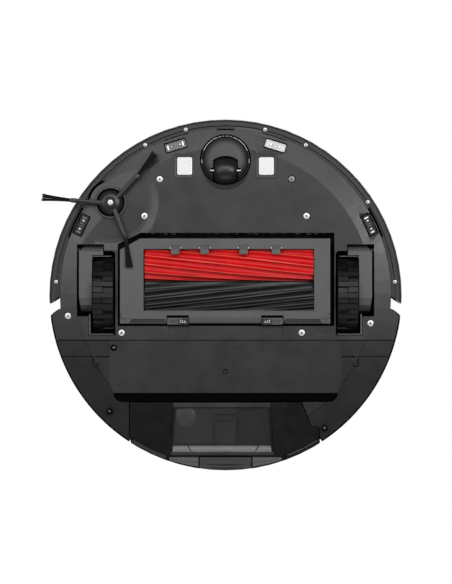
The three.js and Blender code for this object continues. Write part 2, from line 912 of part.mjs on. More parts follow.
// ---------------------------------------------------------------- side brush
function sideBrushHub() {
  const dome = turned(
    [
      [0, 5.8],
      [3.5, 5.8],
      [3.5, 3],
      [5.2, 3],
      [5.8, 4.2],
      [10.6, 4.7],
      [12.6, 6.2],
      [13, 9.4],
      [9, 9.4],
      [9, 16.6],
      [0, 16.6],
    ],
    28,
  );
  const stems = arms.map(({ stem, shift }) => {
    const side = sidePrism([[8, 5.2], [stemEnd, 3], [stemEnd, 6.2], [8, 8.8]], -4, 4);
    const rightEdge = [[2.4, 7], [2.6, 20], [2, 33], [2.4, 34], [2.4, 41]];
    const plan = [...rightEdge, ...mirroredOutline(rightEdge)];
    return placed(common(side, prism(plan, 0, 12)).translate(shift, 0, 0), 0, 0, stem - 90);
  });
  return placed(join(dome, ...stems), hub.x, hub.y);
}

// One tuft: narrow where it leaves the stem, wide and thin at the floor.
function bristleTuft({ stem, bristles, shift, length }) {
  const side = sidePrism([[0.4, 3.4], [length, 0.9], [length, 1.7], [0.4, 5.6]], -5, 5);
  const rightEdge = [[1.7, 0], [3.4, length - 1], [2.4, length]];
  const plan = prism([...rightEdge, ...mirroredOutline(rightEdge)], 0, 9);
  const direction = THREE.MathUtils.degToRad(stem);
  const start = stemEnd + 0.5;
  const startX = hub.x + start * Math.cos(direction) + shift * Math.sin(direction);
  const startY = hub.y + start * Math.sin(direction) - shift * Math.cos(direction);
  return placed(common(side, plan), startX, startY, bristles - 90);
}

const sideBrush = addGroup("side_brush");
addPart(sideBrush, "side_brush_hub", sideBrushHub(), blackPlastic);
addPart(sideBrush, "side_brush_screw", crossScrew(hub.x, hub.y, 3.5, 3, 2.2), steel);
arms.forEach((arm, i) => {
  addPart(sideBrush, `side_brush_tuft_${i + 1}`, bristleTuft(arm), bristle);
});

// ---------------------------------------------------------------- main brushes
function brushChamber() {
  const outside = prism(
    [[-85, -54.8], [104.4, -54.8], [104.4, 28.8], [-105, 28.8], [-105, -44.6]],
    guardZ + guardThickness + 0.4,
    44,
  );
  const bores = [frontRollerY, rearRollerY].map((y) =>
    bar(4.4, -88.4, 95.6, 16, y, rollerZ),
  );
  return cut(
    outside,
    block(-84.5, 91.5, -49.5, 23.5, 0, 40),
    block(-28.8, 28.8, 20, 32, 26, 38),
    block(-102.6, -91.5, -40, 26, 27, 50),
    ...bores,
  );
}

function brushGuard() {
  const top = guardZ + guardThickness;
  const outline = [[-85.5, -55.6], [104.9, -55.6], [104.9, 29.6], [-105.7, 29.6], [-105.7, -44.4]];
  const frame = prism(outline, guardZ, top);
  const tabSide = [[-50, guardZ + 0.2], [-44.6, 3], [-39.8, 2.8], [-39.8, 4.2], [-46.2, 7.4], [-50, 7.4]];
  const tabs = [-50.3, -20.9, 18, 50.5].map((x) => sidePrism(tabSide, x - 4.2, x + 4.2));
  const rearLip = sidePrism([[10, 0], [16.6, 0], [16.6, 6.8], [20.4, 9], [10, 9]], -82, 88.7);
  const roundedUnder = [[22.6, 5.3], [24.6, 5.7], [26.6, 6.5], [28.4, 7.6], [29.8, 8.9], [31, 8.9]];
  const rearCurve = sidePrism([...roundedUnder, [31, 0], [22.6, 0]], -60, 60);
  const window = block(-82, 88.7, -45, 16.6, 0, 20);
  const latchGaps = [-47.8, 46.9].map((x) => block(x - 11, x + 11, 21.4, 40, 0, 20));
  const grooves = [[-101, -60.5], [60, 101]].map(([x0, x1]) => block(x0, x1, 25, 30, 0, guardZ + 1));
  const cornerSpans = [[-107, -101.6], [101, 107]];
  const corners = cornerSpans.map(([x0, x1]) => block(x0, x1, 19.4, 25.6, 0, guardZ + 1.4));
  return join(cut(frame, window, rearLip, rearCurve, ...latchGaps, ...grooves, ...corners), ...tabs);
}

// A sliding catch in the rear bar of the guard.
function guardLatch(x) {
  const pad = [[24.1, 5.2], [30.6, 5.2], [30.6, 8.2], [24.1, 8.2]];
  const ridges = [25.4, 27, 28.6].map((y) => block(x - 8, x + 8, y, y + 0.8, 4.6, 5.6));
  return join(sidePrism(pad, x - 10.4, x + 10.4), ...ridges);
}

// A rubber roller with helical vanes. The sense of its helix is +1 or -1.
function roller(y, sense) {
  const [x0, x1] = rollerEnds;
  const vanes = 12;
  const outline = [];
  for (let i = 0; i < vanes; i += 1) {
    const start = (i * 360) / vanes;
    outline.push(...arc(rollerRadius, start, start + 7, 1));
    outline.push(arc(12.8, start + 18, start + 19, 1)[0]);
  }
  const steps = 8;
  const length = x1 - x0;
  const barrel = new THREE.ExtrudeGeometry(toShape(outline), { depth: length, steps, bevelEnabled: false });
  const position = barrel.attributes.position;
  const totalTwist = THREE.MathUtils.degToRad(72) * sense;
  for (let i = 0; i < position.count; i += 1) {
    const twist = (totalTwist * position.getZ(i)) / length;
    const point = new THREE.Vector2(position.getX(i), position.getY(i));
    point.rotateAround(new THREE.Vector2(), twist);
    position.setXY(i, point.x, point.y);
  }
  barrel.applyMatrix4(planToSide).translate(x0, y, rollerZ);
  const stub = bar(4, x0 - 6, x1 + 6, 16, y, rollerZ);
  return join(barrel, stub);
}

function rollerMotor() {
  const section = [[0, -98], [10.5, -98], [10.5, -42], [4, -42], [4, -38], [0, -38]];
  const can = turnedAcross(section, 24, -22, 55.4);
  const foot = block(-96, -50, -30, -14, 44.4, 48);
  return join(can, foot);
}

const brushHead = addGroup("brush_head");
addPart(brushHead, "brush_chamber", brushChamber(), blackPlastic);
addPart(brushHead, "brush_guard", brushGuard(), frameGrey);
addPart(brushHead, "left_guard_latch", guardLatch(-47.8), frameGrey);
addPart(brushHead, "right_guard_latch", guardLatch(46.9), frameGrey);
addPart(brushHead, "front_roller", roller(frontRollerY, 1), redRubber);
addPart(brushHead, "rear_roller", roller(rearRollerY, -1), blackRubber);
addPart(brushHead, "roller_motor", rollerMotor(), blackPlastic);

// ---------------------------------------------------------------- dust bin
const binSideAngle = THREE.MathUtils.radToDeg(Math.acos(95.2 / bodyRadius));

function dustBin() {
  const outline = [
    [-96, binFrontY],
    [76.4, binFrontY],
    [85.8, 134],
    [92.8, 134],
    ...arc(bodyRadius, binSideAngle, 180 - binSideAngle, 28),
    [-96, 144],
  ];
  const cavity = [
    [-94, binFrontY + 2],
    [74.9, binFrontY + 2],
    [84.3, 136],
    [90.9, 136],
    ...arc(bodyRadius - 2.5, binSideAngle + 1.2, 180 - binSideAngle - 1.2, 28),
    [-94, 142],
  ];
  const [bottomZ, topZ] = binZ;
  const section = [[0, bottomZ], [171.8, bottomZ], [bodyRadius, 19.6], [bodyRadius, topZ], [0, topZ]];
  const middleSlope = sidePrism([[163.6, 10], [190, 10], [190, 22], [177, 19.4], [163.6, 13]], -57, 57);
  const rearFloor = turned([[169.4, 10], [190, 10], [190, 25], [176, 23], [169.4, 16], [169.4, 10]]);
  const hollow = cut(
    prism(cavity, 16, 64.6),
    block(-29, 29, 160.2, 190, 0, 24),
    rearFloor,
    sidePrism([[161.8, 10], [190, 10], [190, 25], [176, 23], [161.8, 16]], -60, 60),
  );
  const windowSeat = prism([[-52.7, 111], [45.3, 111], [48.9, 161.3], [-55.9, 161.3]], 5, 15.3);
  const windowHole = prism([[-50.4, 113.4], [43, 113.4], [46.2, 158.6], [-53.2, 158.6]], 5, 20);
  return cut(
    common(prism(outline, bottomZ, topZ), turned(section)),
    middleSlope,
    hollow,
    windowSeat,
    windowHole,
    block(-30, 30, 105, 112, 27.5, 43),
    block(41, 71, 105, 112, 29, 55),
    block(-26.4, 26.4, 162.2, 190, 0, 21.6),
  );
}

function binWindow() {
  return prism([[-52.3, 111.4], [44.9, 111.4], [48.5, 160.9], [-55.5, 160.9]], 13.2, 15);
}

// A pleated filter block behind the bin's outlet.
function binFilter() {
  const pleats = 8;
  const width = 33 / pleats;
  const rear = [];
  for (let i = 0; i < pleats; i += 1) {
    rear.push([39.5 + width * (i + 0.25), 125.4]);
    rear.push([39.5 + width * (i + 0.75), 120.6]);
  }
  return prism([[72.5, 111.3], [39.5, 111.3], [39.5, 120.6], ...rear, [72.5, 120.6]], 27, 57);
}

function releaseButton() {
  const side = [
    [164, 12.8],
    [170.6, 14],
    [171, 15.2],
    [174.2, 16],
    [174.6, 17.4],
    [180, 18.4],
    [180, 21],
    [164, 21],
  ];
  return common(sidePrism(side, -25.8, 25.8), disc(bodyRadius - 0.3, 0, 30, roundSteps));
}

const dustbin = addGroup("dustbin");
addPart(dustbin, "dustbin_body", dustBin(), blackPlastic);
addPart(dustbin, "dustbin_window", binWindow(), tankSmoke);
addPart(dustbin, "bin_filter", binFilter(), filterWhite);
addPart(dustbin, "bin_release_button", releaseButton(), frameGrey);

// ---------------------------------------------------------------- laser turret
const postRadius = 42;
const postAngles = [45, 135, 225, 315];

function lidarBase() {
  const base = turned([[0, 78.3], [49, 78.3], [49, 82], [48.6, 83], [46.6, 84], [0, 84]], 40, 0, lidarY);
  const sockets = postAngles.map((angle) => {
    const [[x, y]] = arc(postRadius, angle, angle, 1, 0, lidarY);
    return disc(3.2, 70, 90, 14, x, y);
  });
  return cut(base, ...sockets);
}

function lidarRotor() {
  const section = [[0, 84.4], [31, 84.4], [33, 85.4], [33, 89.6], [31.6, 90.4], [0, 90.4]];
  const emitter = block(-7, 7, lidarY - 40, lidarY - 24, 85.6, 89.4);
  const receiver = block(10, 18, lidarY - 40, lidarY - 22, 85.6, 89.4);
  return cut(turned(section, 32, 0, lidarY), emitter, receiver);
}

function lidarCap() {
  const cap = turned(
    [[0, 92.2], [46.4, 92.2], [47.6, 93], [47.6, 94.6], [45.6, totalHeight - 0.3], [0, totalHeight]],
    40,
    0,
    lidarY,
  );
  const posts = postAngles.map((angle) => {
    const [[x, y]] = arc(postRadius, angle, angle, 1, 0, lidarY);
    return disc(2.6, 82.4, 93, 14, x, y);
  });
  return join(cap, ...posts);
}

const lidar = addGroup("lidar");
addPart(lidar, "lidar_base", lidarBase(), blackPlastic);
addPart(lidar, "lidar_rotor", lidarRotor(), glossBlack);
addPart(lidar, "lidar_cap", lidarCap(), shellGrey);

// ---------------------------------------------------------------- buttons on the deck
const controls = addGroup("controls");
for (const { name, x, y, radius } of buttons) {
  const cap = turned([[0, 76.6], [radius, 76.6], [radius, 80], [radius - 0.6, 80.6], [0, 80.4]], 20, x, y);
  addPart(controls, name, cap, lightPlastic);
}

export default vacuum;
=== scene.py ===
"""Looks of a robot vacuum seen from below: fine meshes, materials, light and camera."""

import json
import math
import random

import bmesh
import bpy
from mathutils import Matrix, Vector


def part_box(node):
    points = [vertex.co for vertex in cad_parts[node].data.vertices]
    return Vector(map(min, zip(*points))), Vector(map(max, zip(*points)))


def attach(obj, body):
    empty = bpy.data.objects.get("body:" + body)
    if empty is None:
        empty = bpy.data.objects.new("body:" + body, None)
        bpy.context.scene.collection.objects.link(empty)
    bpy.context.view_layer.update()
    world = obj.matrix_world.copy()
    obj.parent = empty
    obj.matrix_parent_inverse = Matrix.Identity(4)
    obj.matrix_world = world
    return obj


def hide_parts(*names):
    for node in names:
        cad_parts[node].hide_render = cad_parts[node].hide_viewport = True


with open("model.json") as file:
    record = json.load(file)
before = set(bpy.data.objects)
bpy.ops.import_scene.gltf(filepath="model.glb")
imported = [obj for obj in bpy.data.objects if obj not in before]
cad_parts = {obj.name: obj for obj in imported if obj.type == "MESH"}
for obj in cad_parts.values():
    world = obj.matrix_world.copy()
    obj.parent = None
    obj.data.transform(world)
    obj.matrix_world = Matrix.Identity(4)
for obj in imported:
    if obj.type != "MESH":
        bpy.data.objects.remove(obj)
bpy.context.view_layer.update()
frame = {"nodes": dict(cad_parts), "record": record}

MM = 0.001


def node_box(node):
    """A CAD node's lowest and highest corner in millimetres, to the nearest micrometre."""
    return [tuple(round(value / MM, 3) for value in corner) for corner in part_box(node)]


def centre(node):
    """The middle of a CAD node's box, in millimetres."""
    return tuple(round((low + high) / 2, 3) for low, high in zip(*node_box(node)))


# -------- material building
class Graph:
    """A small helper round one material's node tree."""

    def __init__(self, name):
        self.material = bpy.data.materials.new(name)
        self.material.use_nodes = True
        self.tree = self.material.node_tree
        self.shader = self.tree.nodes["Principled BSDF"]
        self.place = self.node("ShaderNodeTexCoord").outputs["Object"]

    def node(self, kind, **values):
        made = self.tree.nodes.new(kind)
        for key, value in values.items():
            setattr(made, key, value)
        return made

    def link(self, source, target):
        self.tree.links.new(source, target)

    def noise(self, size, detail=3.0, stretch=(1, 1, 1), distortion=0.0):
        """Noise whose blobs are about size metres across."""
        scale = self.node("ShaderNodeMapping")
        scale.inputs["Scale"].default_value = [1 / (size * s) for s in stretch]
        self.link(self.place, scale.inputs["Vector"])
        noise = self.node("ShaderNodeTexNoise")
        noise.inputs["Scale"].default_value = 1.0
        noise.inputs["Detail"].default_value = detail
        noise.inputs["Distortion"].default_value = distortion
        self.link(scale.outputs["Vector"], noise.inputs["Vector"])
        return noise.outputs["Fac"]

    def spread(self, value, low, high, from_low=0.3, from_high=0.7):
        """Remaps a 0-1 value to a range."""
        remap = self.node("ShaderNodeMapRange")
        remap.inputs["From Min"].default_value = from_low
        remap.inputs["From Max"].default_value = from_high
        remap.inputs["To Min"].default_value = low
        remap.inputs["To Max"].default_value = high
        self.link(value, remap.inputs["Value"])
        return remap.outputs["Result"]

    def blend(self, factor, first, second):
        """Mixes two colours, each a tuple or a socket, by a factor socket."""
        mix = self.node("ShaderNodeMix", data_type="RGBA")
        self.link(factor, mix.inputs["Factor"])
        for socket, colour in ((mix.inputs["A"], first), (mix.inputs["B"], second)):
            if isinstance(colour, tuple):
                socket.default_value = (*colour, 1)
            else:
                self.link(colour, socket)
        return mix.outputs["Result"]

    def bump(self, height, strength, depth, under=None):
        bump = self.node("ShaderNodeBump")
        bump.inputs["Strength"].default_value = strength
        bump.inputs["Distance"].default_value = depth
        self.link(height, bump.inputs["Height"])
        if under is not None:
            self.link(under, bump.inputs["Normal"])
        return bump.outputs["Normal"]

    def sum(self, first, second):
        total = self.node("ShaderNodeMath", operation="ADD")
        self.link(first, total.inputs[0])
        self.link(second, total.inputs[1])
        return total.outputs[0]

    def vector(self, operation, socket, other=(0, 0, 0)):
        maths = self.node("ShaderNodeVectorMath", operation=operation)
        self.link(socket, maths.inputs[0])
        maths.inputs[1].default_value = other
        return maths.outputs["Value" if operation == "LENGTH" else "Vector"]

    def set(self, name, value):
        """Gives the shader's input a socket to follow, or a fixed value."""
        if isinstance(value, float):
            self.shader.inputs[name].default_value = value
        else:
            self.link(value, self.shader.inputs[name])

    def darken(self, factor):
        """Multiplies the base colour by a factor socket."""
        source = self.shader.inputs["Base Color"].links[0].from_socket
        shadowed = self.node("ShaderNodeMix", data_type="RGBA", blend_type="MULTIPLY")
        shadowed.inputs["Factor"].default_value = 1.0
        self.link(source, shadowed.inputs["A"])
        self.link(factor, shadowed.inputs["B"])
        self.set("Base Color", shadowed.outputs["Result"])


def shade(colour, factor):
    return tuple(min(1.0, part * factor) for part in colour)


def grey(level, blue):
    return (level, level, blue)


def plastic_graph(name, colour, rough, coat=0.0, specular=0.5):
    """Moulded plastic: fine grain, faint mottling, scuffs and uneven gloss."""
    grain_size, mottle_size, scuff_size = 0.0005, 0.022, 0.0016
    graph = Graph(name)
    wide = graph.noise(mottle_size, 4)
    fine = graph.noise(grain_size, 2)
    scuffs = graph.noise(scuff_size, 5, stretch=(9, 1, 3), distortion=0.6)
    base = graph.blend(graph.spread(wide, 0, 1), shade(colour, 0.92), shade(colour, 1.08))
    speckled = graph.blend(graph.spread(fine, 0, 0.35), base, shade(colour, 1.25))
    scuffed = graph.blend(graph.spread(scuffs, 0, 0.5, 0.66, 0.8), speckled, shade(colour, 1.7))
    graph.set("Base Color", scuffed)
    gloss = graph.spread(wide, rough - 0.05, rough + 0.05)
    graph.set("Roughness", graph.sum(gloss, graph.spread(scuffs, 0, 0.12, 0.6, 0.8)))
    graph.set("Normal", graph.bump(fine, 0.5, 0.00003, graph.bump(wide, 0.2, 0.0001)))
    graph.set("Coat Weight", coat)
    graph.set("Coat Roughness", 0.12)
    graph.set("Specular IOR Level", specular)
    return graph


def plastic(name, colour, rough, coat=0.0, specular=0.5):
    return plastic_graph(name, colour, rough, coat, specular).material


def shade_painted_plate_plastic(name, colour, rough, flat_painted_shade):
    """Plastic of the rear plate with painted shade: its flat part, about 11 mm above the floor, is darkened
    by a factor so that it looks no brighter than the slope round it.
    """
    graph = plastic_graph(name, colour, rough)
    axes = graph.node("ShaderNodeSeparateXYZ")
    graph.link(graph.place, axes.inputs[0])
    height = axes.outputs["Z"]
    below = graph.spread(height, 1, flat_painted_shade, 0.0104, 0.0108)
    above = graph.spread(height, 0, 1 - flat_painted_shade, 0.0110, 0.0116)
    graph.darken(graph.sum(below, above))
    return graph.material


def rim_shaded_plastic(name, colour, rough, middle, inner, outer, rim_painted_shade):
    """Plastic with painted shade: its colour darkens with the distance from a dome's upright axis, between an
    inner and an outer radius, down to a factor at the rim.
    """
    graph = plastic_graph(name, colour, rough)
    offset = graph.vector("SUBTRACT", graph.place, middle)
    distance = graph.vector("LENGTH", graph.vector("MULTIPLY", offset, (1, 1, 0)))
    graph.darken(graph.spread(distance, 1, rim_painted_shade, inner, outer))
    return graph.material


BRIGHT_MARKS = {"size": 0.0012, "amount": 0.5, "first": 0.45, "full": 0.75, "shade": 0.72}
TARNISH = {"size": 0.003, "amount": 0.4, "first": 0.5, "full": 0.8, "shade": 0.7}


def metal(name, colour, rough, metallic=1.0, stretch=(1, 1, 1), brushing=0.0002, marks=TARNISH):
    """Plated or ground metal with fine brushing and small tarnish marks."""
    graph = Graph(name)
    brushed = graph.noise(brushing, 3, stretch=stretch)
    spots = graph.spread(graph.noise(marks["size"], 4), 0, marks["amount"], marks["first"], marks["full"])
    graph.set("Base Color", graph.blend(spots, colour, shade(colour, marks["shade"])))
    graph.set("Roughness", graph.spread(brushed, rough - 0.06, rough + 0.1))
    graph.set("Normal", graph.bump(brushed, 0.3, 0.00001))
    graph.set("Metallic", metallic)
    return graph.material


def bright_metal(name, colour, rough, metallic):
    """Zinc plate that looks almost white under soft light."""
    return metal(name, colour, rough, metallic, brushing=0.00025, marks=BRIGHT_MARKS)


def rubber(name, colour, rough, specular=0.5):
    """Moulded rubber: powdery grain with fine dust in it."""
    graph = Graph(name)
    dust = graph.noise(0.0012, 6)
    patches = graph.noise(0.012, 3)
    base = graph.blend(graph.spread(patches, 0, 1), shade(colour, 0.88), shade(colour, 1.12))
    graph.set("Base Color", graph.blend(graph.spread(dust, 0, 0.3, 0.5, 0.8), base, shade(colour, 1.5)))
    graph.set("Roughness", graph.spread(patches, rough - 0.07, rough + 0.07))
    graph.set("Normal", graph.bump(dust, 0.4, 0.00005))
    graph.set("Specular IOR Level", specular)
    return graph.material


def smoked_window(name, colour):
    graph = Graph(name)
    haze = graph.noise(0.018, 5)
    specks = graph.noise(0.0007, 2)
    graph.set("Base Color", graph.blend(graph.spread(haze, 0, 1), shade(colour, 0.8), shade(colour, 1.25)))
    graph.set("Roughness", graph.spread(haze, 0.12, 0.24))
    graph.set("Normal", graph.bump(specks, 0.25, 0.00002))
    graph.set("Alpha", 0.30)
    graph.set("Coat Weight", 0.4)
    return graph.material


# The looks that each slot of the record has. A look is its maker and the maker's values, and a
# plastic is only its grey level, its blue level, its roughness and any coat and specular level.
FORK_MIDDLE = (0, centre("caster_fork")[1] * MM, 0)
LOOKS = {
    "charcoal": {
        "charcoal": (0.0255, 0.0262, 0.35),
        "edge_grey": (0.055, 0.056, 0.4),
        # The dark dish look is painted shade in the dish behind the caster.
        "dish_plastic": (0.0085, 0.0088, 0.5, 0.0, 0.3),
        # The light collar look is a painted highlight, on the hub's collar and on the bumper's lip ridge.
        "collar_plastic": (0.085, 0.088, 0.35),
    },
    "rear_panel": {
        # The rear plate's flat part is darkened with painted shade.
        "rear_panel": (shade_painted_plate_plastic, grey(0.0145, 0.015), 0.37, 0.30),
        "rear_edge": (0.024, 0.0245, 0.4),
    },
    "shell": {
        "shell": (0.0178, 0.0182, 0.44),
        "dark_shell": (0.0075, 0.0078, 0.4, 0.0, 0.35),
        "cap_plastic": (0.021, 0.022, 0.38),
        "cap_edge": (0.10, 0.102, 0.3, 0.3),
    },
    "caster_plastic": {
        # The caster's dome darkens towards its rim with painted shade; the near-white look below is for
        # painted highlights on its lip.
        "caster_plastic": (rim_shaded_plastic, grey(0.060, 0.061), 0.55, FORK_MIDDLE, 0.0155, 0.0225, 0.10),
        "rim_worn": (0.62, 0.62, 0.4),
    },
    "black_plastic": {
        "black_plastic": (0.008, 0.009, 0.45),
        # The near-black look below is painted shadow: sheets laid in seams, gaps, holes and grooves and along
        # the shell's edge.
        "hole_black": (0.0008, 0.0008, 0.8, 0.0, 0.04),
        "gap_plastic": (0.035, 0.036, 0.35),
    },
    "bin_plastic": {
        "bin_plastic": (0.003, 0.0033, 0.30, 0.0, 0.3),
        "bin_shelf": (0.72, 0.725, 0.25, 0.3),
        "bin_boss": (0.16, 0.162, 0.35),
        "bin_ceiling": (0.085, 0.087, 0.35),
        "bin_backing": (0.050, 0.052, 0.35),
        "bin_ribs": (0.070, 0.072, 0.35),
        "window_rim": (0.021, 0.0212, 0.4),
        "window_rim_dark": (0.0105, 0.0107, 0.4),
        "rim_grey": (0.060, 0.062, 0.30, 0.2),
        "rim_line": (0.17, 0.172, 0.3, 0.2),
    },
    "gloss_black": {
        "gloss_black": (0.006, 0.007, 0.12, 0.5),
        # The block and lens looks are lit and shaded copies of one sensor: the grey and white blocks and the
        # bright lenses are painted reflections.
        "sensor_grey": (0.22, 0.23, 0.30, 0.3),
        "sensor_white": (0.78, 0.78, 0.30, 0.3),
        "sensor_dark": (0.012, 0.013, 0.30, 0.3),
        "lens_bright": (bright_metal, grey(0.92, 0.93), 0.15, 0.3),
        "lens_dark": (bright_metal, grey(0.42, 0.44), 0.14, 0.6),
    },
    "red_rubber": {
        "red_rubber": (rubber, (0.62, 0.005, 0.007), 0.45, 0.3),
        # The lighter edge look is a painted highlight on the vane crests.
        "red_edge": (rubber, (0.86, 0.060, 0.040), 0.45),
    },
    "black_rubber": {
        "black_rubber": (rubber, grey(0.006, 0.0062), 0.40, 0.45),
        # The lighter edge look is a painted highlight on the vane crests.
        "black_edge": (rubber, grey(0.035, 0.036), 0.45),
    },
    "screw_steel": {
        "screw_steel": (bright_metal, grey(0.88, 0.88), 0.32, 0.35),
        "screw_dull": (bright_metal, grey(0.30, 0.30), 0.40, 0.35),
        # The dark steel look is painted shade, on screws deep in holes and on the floors of cross recesses.
        "dark_steel": (metal, grey(0.12, 0.13), 0.35),
    },
    "frame_grey": {"frame_grey": (0.088, 0.090, 0.42)},
    "hub_plastic": {"hub_plastic": (0.0115, 0.0118, 0.38)},
    "bin_window": {"bin_window": (smoked_window, (0.020, 0.021, 0.022))},
    "caster_wheel": {"caster_wheel": (0.008, 0.008, 0.36)},
    "tyre": {"tyre": (rubber, grey(0.0065, 0.0067), 0.5, 0.4)},
    "bristle": {"bristle": (rubber, grey(0.006, 0.006), 0.5)},
    "contact_metal": {"contact_metal": (bright_metal, grey(0.95, 0.94), 0.30, 0.25)},
    "axle_steel": {"axle_steel": (metal, grey(0.80, 0.82), 0.18, 1.0, (6, 1, 1))},
    "circuit_board": {"circuit_board": (plastic, (0.010, 0.080, 0.028), 0.35, 0.4)},
    "battery_wrap": {"battery_wrap": (plastic, (0.014, 0.045, 0.150), 0.30, 0.3)},
    "filter_paper": {"filter_paper": (rubber, grey(0.68, 0.62), 0.85)},
    "button_plastic": {"button_plastic": (0.70, 0.70, 0.35)},
}
MATERIALS, SLOT_OF = {}, {}
for slot, looks in LOOKS.items():
    for look, values in looks.items():
        if isinstance(values[0], float):
            values = (plastic, grey(*values[:2]), *values[2:])
        MATERIALS[look] = values[0](f"{look}_look", *values[1:])
        SLOT_OF[look] = slot


# -------- the CAD nodes that are shown as they are
EDGE_RADIUS = {"rear_base_plate": 0.14, "chassis_base": 0.22, "bumper_shell": 0.16, "dustbin_body": 0.25}
OTHER_EDGE_RADIUS = 0.35
NODE_LOOKS = {"bin_release_button": "rim_grey", "body_shell": "dark_shell"}


def round_off(obj, radius, sharp_angle=35):
    """Rounds an object's sharp edges by a radius in millimetres."""
    edges = obj.modifiers.new("edges", "BEVEL")
    edges.width = radius * MM
    edges.segments = 2
    edges.limit_method = "ANGLE"
    edges.angle_limit = math.radians(sharp_angle)
    edges.harden_normals = True
    return edges


def finish_cad_node(node, obj, look):
    """Rounds a CAD node's edges and gives it a look."""
    weld = obj.modifiers.new("weld", "WELD")
    weld.merge_threshold = 0.01 * MM
    round_off(obj, EDGE_RADIUS.get(node, OTHER_EDGE_RADIUS), 32).use_clamp_overlap = False
    normals = obj.modifiers.new("normals", "WEIGHTED_NORMAL")
    normals.keep_sharp = True
    obj.data.materials.clear()
    obj.data.materials.append(MATERIALS[look])


slots = {part["node"]: part["material_slot"] for part in frame["record"]["subparts"]}
for node, obj in frame["nodes"].items():
    finish_cad_node(node, obj, NODE_LOOKS.get(node, slots[node]))


# -------- mesh building
def mesh_object(name, points, faces, material, sharp_angle=35):
    """A mesh in the frame's own coordinates, given in millimetres, with smooth faces and sharp corners."""
    mesh = bpy.data.meshes.new(name)
    mesh.from_pydata([Vector(point) * MM for point in points], [], faces)
    shape = bmesh.new()
    shape.from_mesh(mesh)
    bmesh.ops.remove_doubles(shape, verts=shape.verts, dist=0.002 * MM)
    bmesh.ops.recalc_face_normals(shape, faces=shape.faces)
    for face in shape.faces:
        face.smooth = True
    for edge in shape.edges:
        edge.smooth = len(edge.link_faces) == 2 and edge.calc_face_angle() < math.radians(sharp_angle)
    shape.to_mesh(mesh)
    shape.free()
    mesh.materials.append(material)
    obj = bpy.data.objects.new(name, mesh)
    bpy.context.collection.objects.link(obj)
    return obj


def add_piece(name, shape, look, body, replaced=(), sharp_angle=35, round_edges=0.0):
    """A finished piece of the object, which rides on a body and may stand for CAD nodes."""
    obj = mesh_object(name, *shape, MATERIALS[look], sharp_angle)
    if round_edges:
        round_off(obj, round_edges)
    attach(obj, body)
    if replaced:
        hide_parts(*replaced)


def combine(*shapes):
    """Several (points, faces) shapes as one."""
    points, faces = [], []
    for some_points, some_faces in shapes:
        start = len(points)
        points.extend(some_points)
        faces.extend([[start + i for i in face] for face in some_faces])
    return points, faces


def moved(shape, move=(0, 0, 0), turn=0.0, tilt=(0.0, 0.0)):
    """A shape tilted about X and Y, turned about Z, then moved. Angles are in degrees."""
    matrix = Matrix.Translation(move)
    for angle, axis in ((turn, "Z"), (tilt[0], "X"), (tilt[1], "Y")):
        matrix = matrix @ Matrix.Rotation(math.radians(angle), 4, axis)
    return [tuple(matrix @ Vector(point)) for point in shape[0]], shape[1]


def mirrored(shape):
    return [(-x, y, z) for x, y, z in shape[0]], shape[1]


def both_sides(shape):
    return combine(shape, mirrored(shape))


def add_pair(name, shape, look, body, replaced=None, **finish):
    """A piece on the right and its mirror image on the left; "SIDE" stands for the side in names."""
    for side, half in (("right", shape), ("left", mirrored(shape))):
        nodes = [replaced.replace("SIDE", side)] if replaced else ()
        add_piece(f"{side}_{name}", half, look, body.replace("SIDE", side), nodes, **finish)


def grid(rows, columns, place, close_rows=False, close_columns=False):
    """A net of quads; place(row, column) gives each corner."""
    points = [place(i, j) for i in range(rows) for j in range(columns)]
    faces = []
    for i in range(rows if close_rows else rows - 1):
        for j in range(columns if close_columns else columns - 1):
            i2, j2 = (i + 1) % rows, (j + 1) % columns
            faces.append([i * columns + j, i * columns + j2, i2 * columns + j2, i2 * columns + j])
    return points, faces


def capped(rows, columns, place):
    """A net that is closed round its columns, with a face over each end."""
    points, faces = grid(rows, columns, place, close_columns=True)
    last = (rows - 1) * columns
    return points, [*faces, list(range(columns)), list(range(last, last + columns))]


def carved(shape, *cutters):
    """A shape with other shapes cut out of it."""
    obj = mesh_object("carving", *shape, MATERIALS["charcoal"])
    tools = [mesh_object("cutter", *cutter, MATERIALS["charcoal"]) for cutter in cutters]
    for tool in tools:
        cut = obj.modifiers.new("cut", "BOOLEAN")
        cut.operation = "DIFFERENCE"
        cut.solver = "EXACT"
        cut.object = tool
    evaluated = obj.evaluated_get(bpy.context.evaluated_depsgraph_get())
    mesh = evaluated.to_mesh()
    points = [tuple(vertex.co / MM) for vertex in mesh.vertices]
    faces = [list(face.vertices) for face in mesh.polygons]
    evaluated.to_mesh_clear()
    for used in (obj, *tools):
        bpy.data.objects.remove(used)
    return points, faces


def lathe(profile, steps, middle=(0, 0)):
    """Turns a (radius, z) profile about an upright axis."""
    def place(i, j):
        radius, z = profile[i]
        angle = 2 * math.pi * j / steps
        return (middle[0] + radius * math.cos(angle), middle[1] + radius * math.sin(angle), z)
    return grid(len(profile), steps, place, close_columns=True)


def lathe_across(profile, steps, y, z):
    """Turns a (radius, x) profile about an axis along X."""
    def place(i, j):
        radius, x = profile[i]
        angle = 2 * math.pi * j / steps
        return (x, y + radius * math.cos(angle), z + radius * math.sin(angle))
    return grid(len(profile), steps, place, close_columns=True)


def prism(outline, low, high):
    """An upright prism over an outline of (x, y) corners."""
    count = len(outline)
    points = [(x, y, low) for x, y in outline] + [(x, y, high) for x, y in outline]
    sides = [[i, (i + 1) % count, count + (i + 1) % count, count + i] for i in range(count)]
    return points, [list(range(count)), list(range(count, 2 * count)), *sides]


def side_prism(outline, x0, x1):
    """A prism along X over an outline of (y, z) corners."""
    points, faces = prism(outline, x0, x1)
    return [(x, y, z) for y, z, x in points], faces


def box(x0, x1, y0, y1, z0, z1):
    return prism([(x0, y0), (x1, y0), (x1, y1), (x0, y1)], z0, z1)


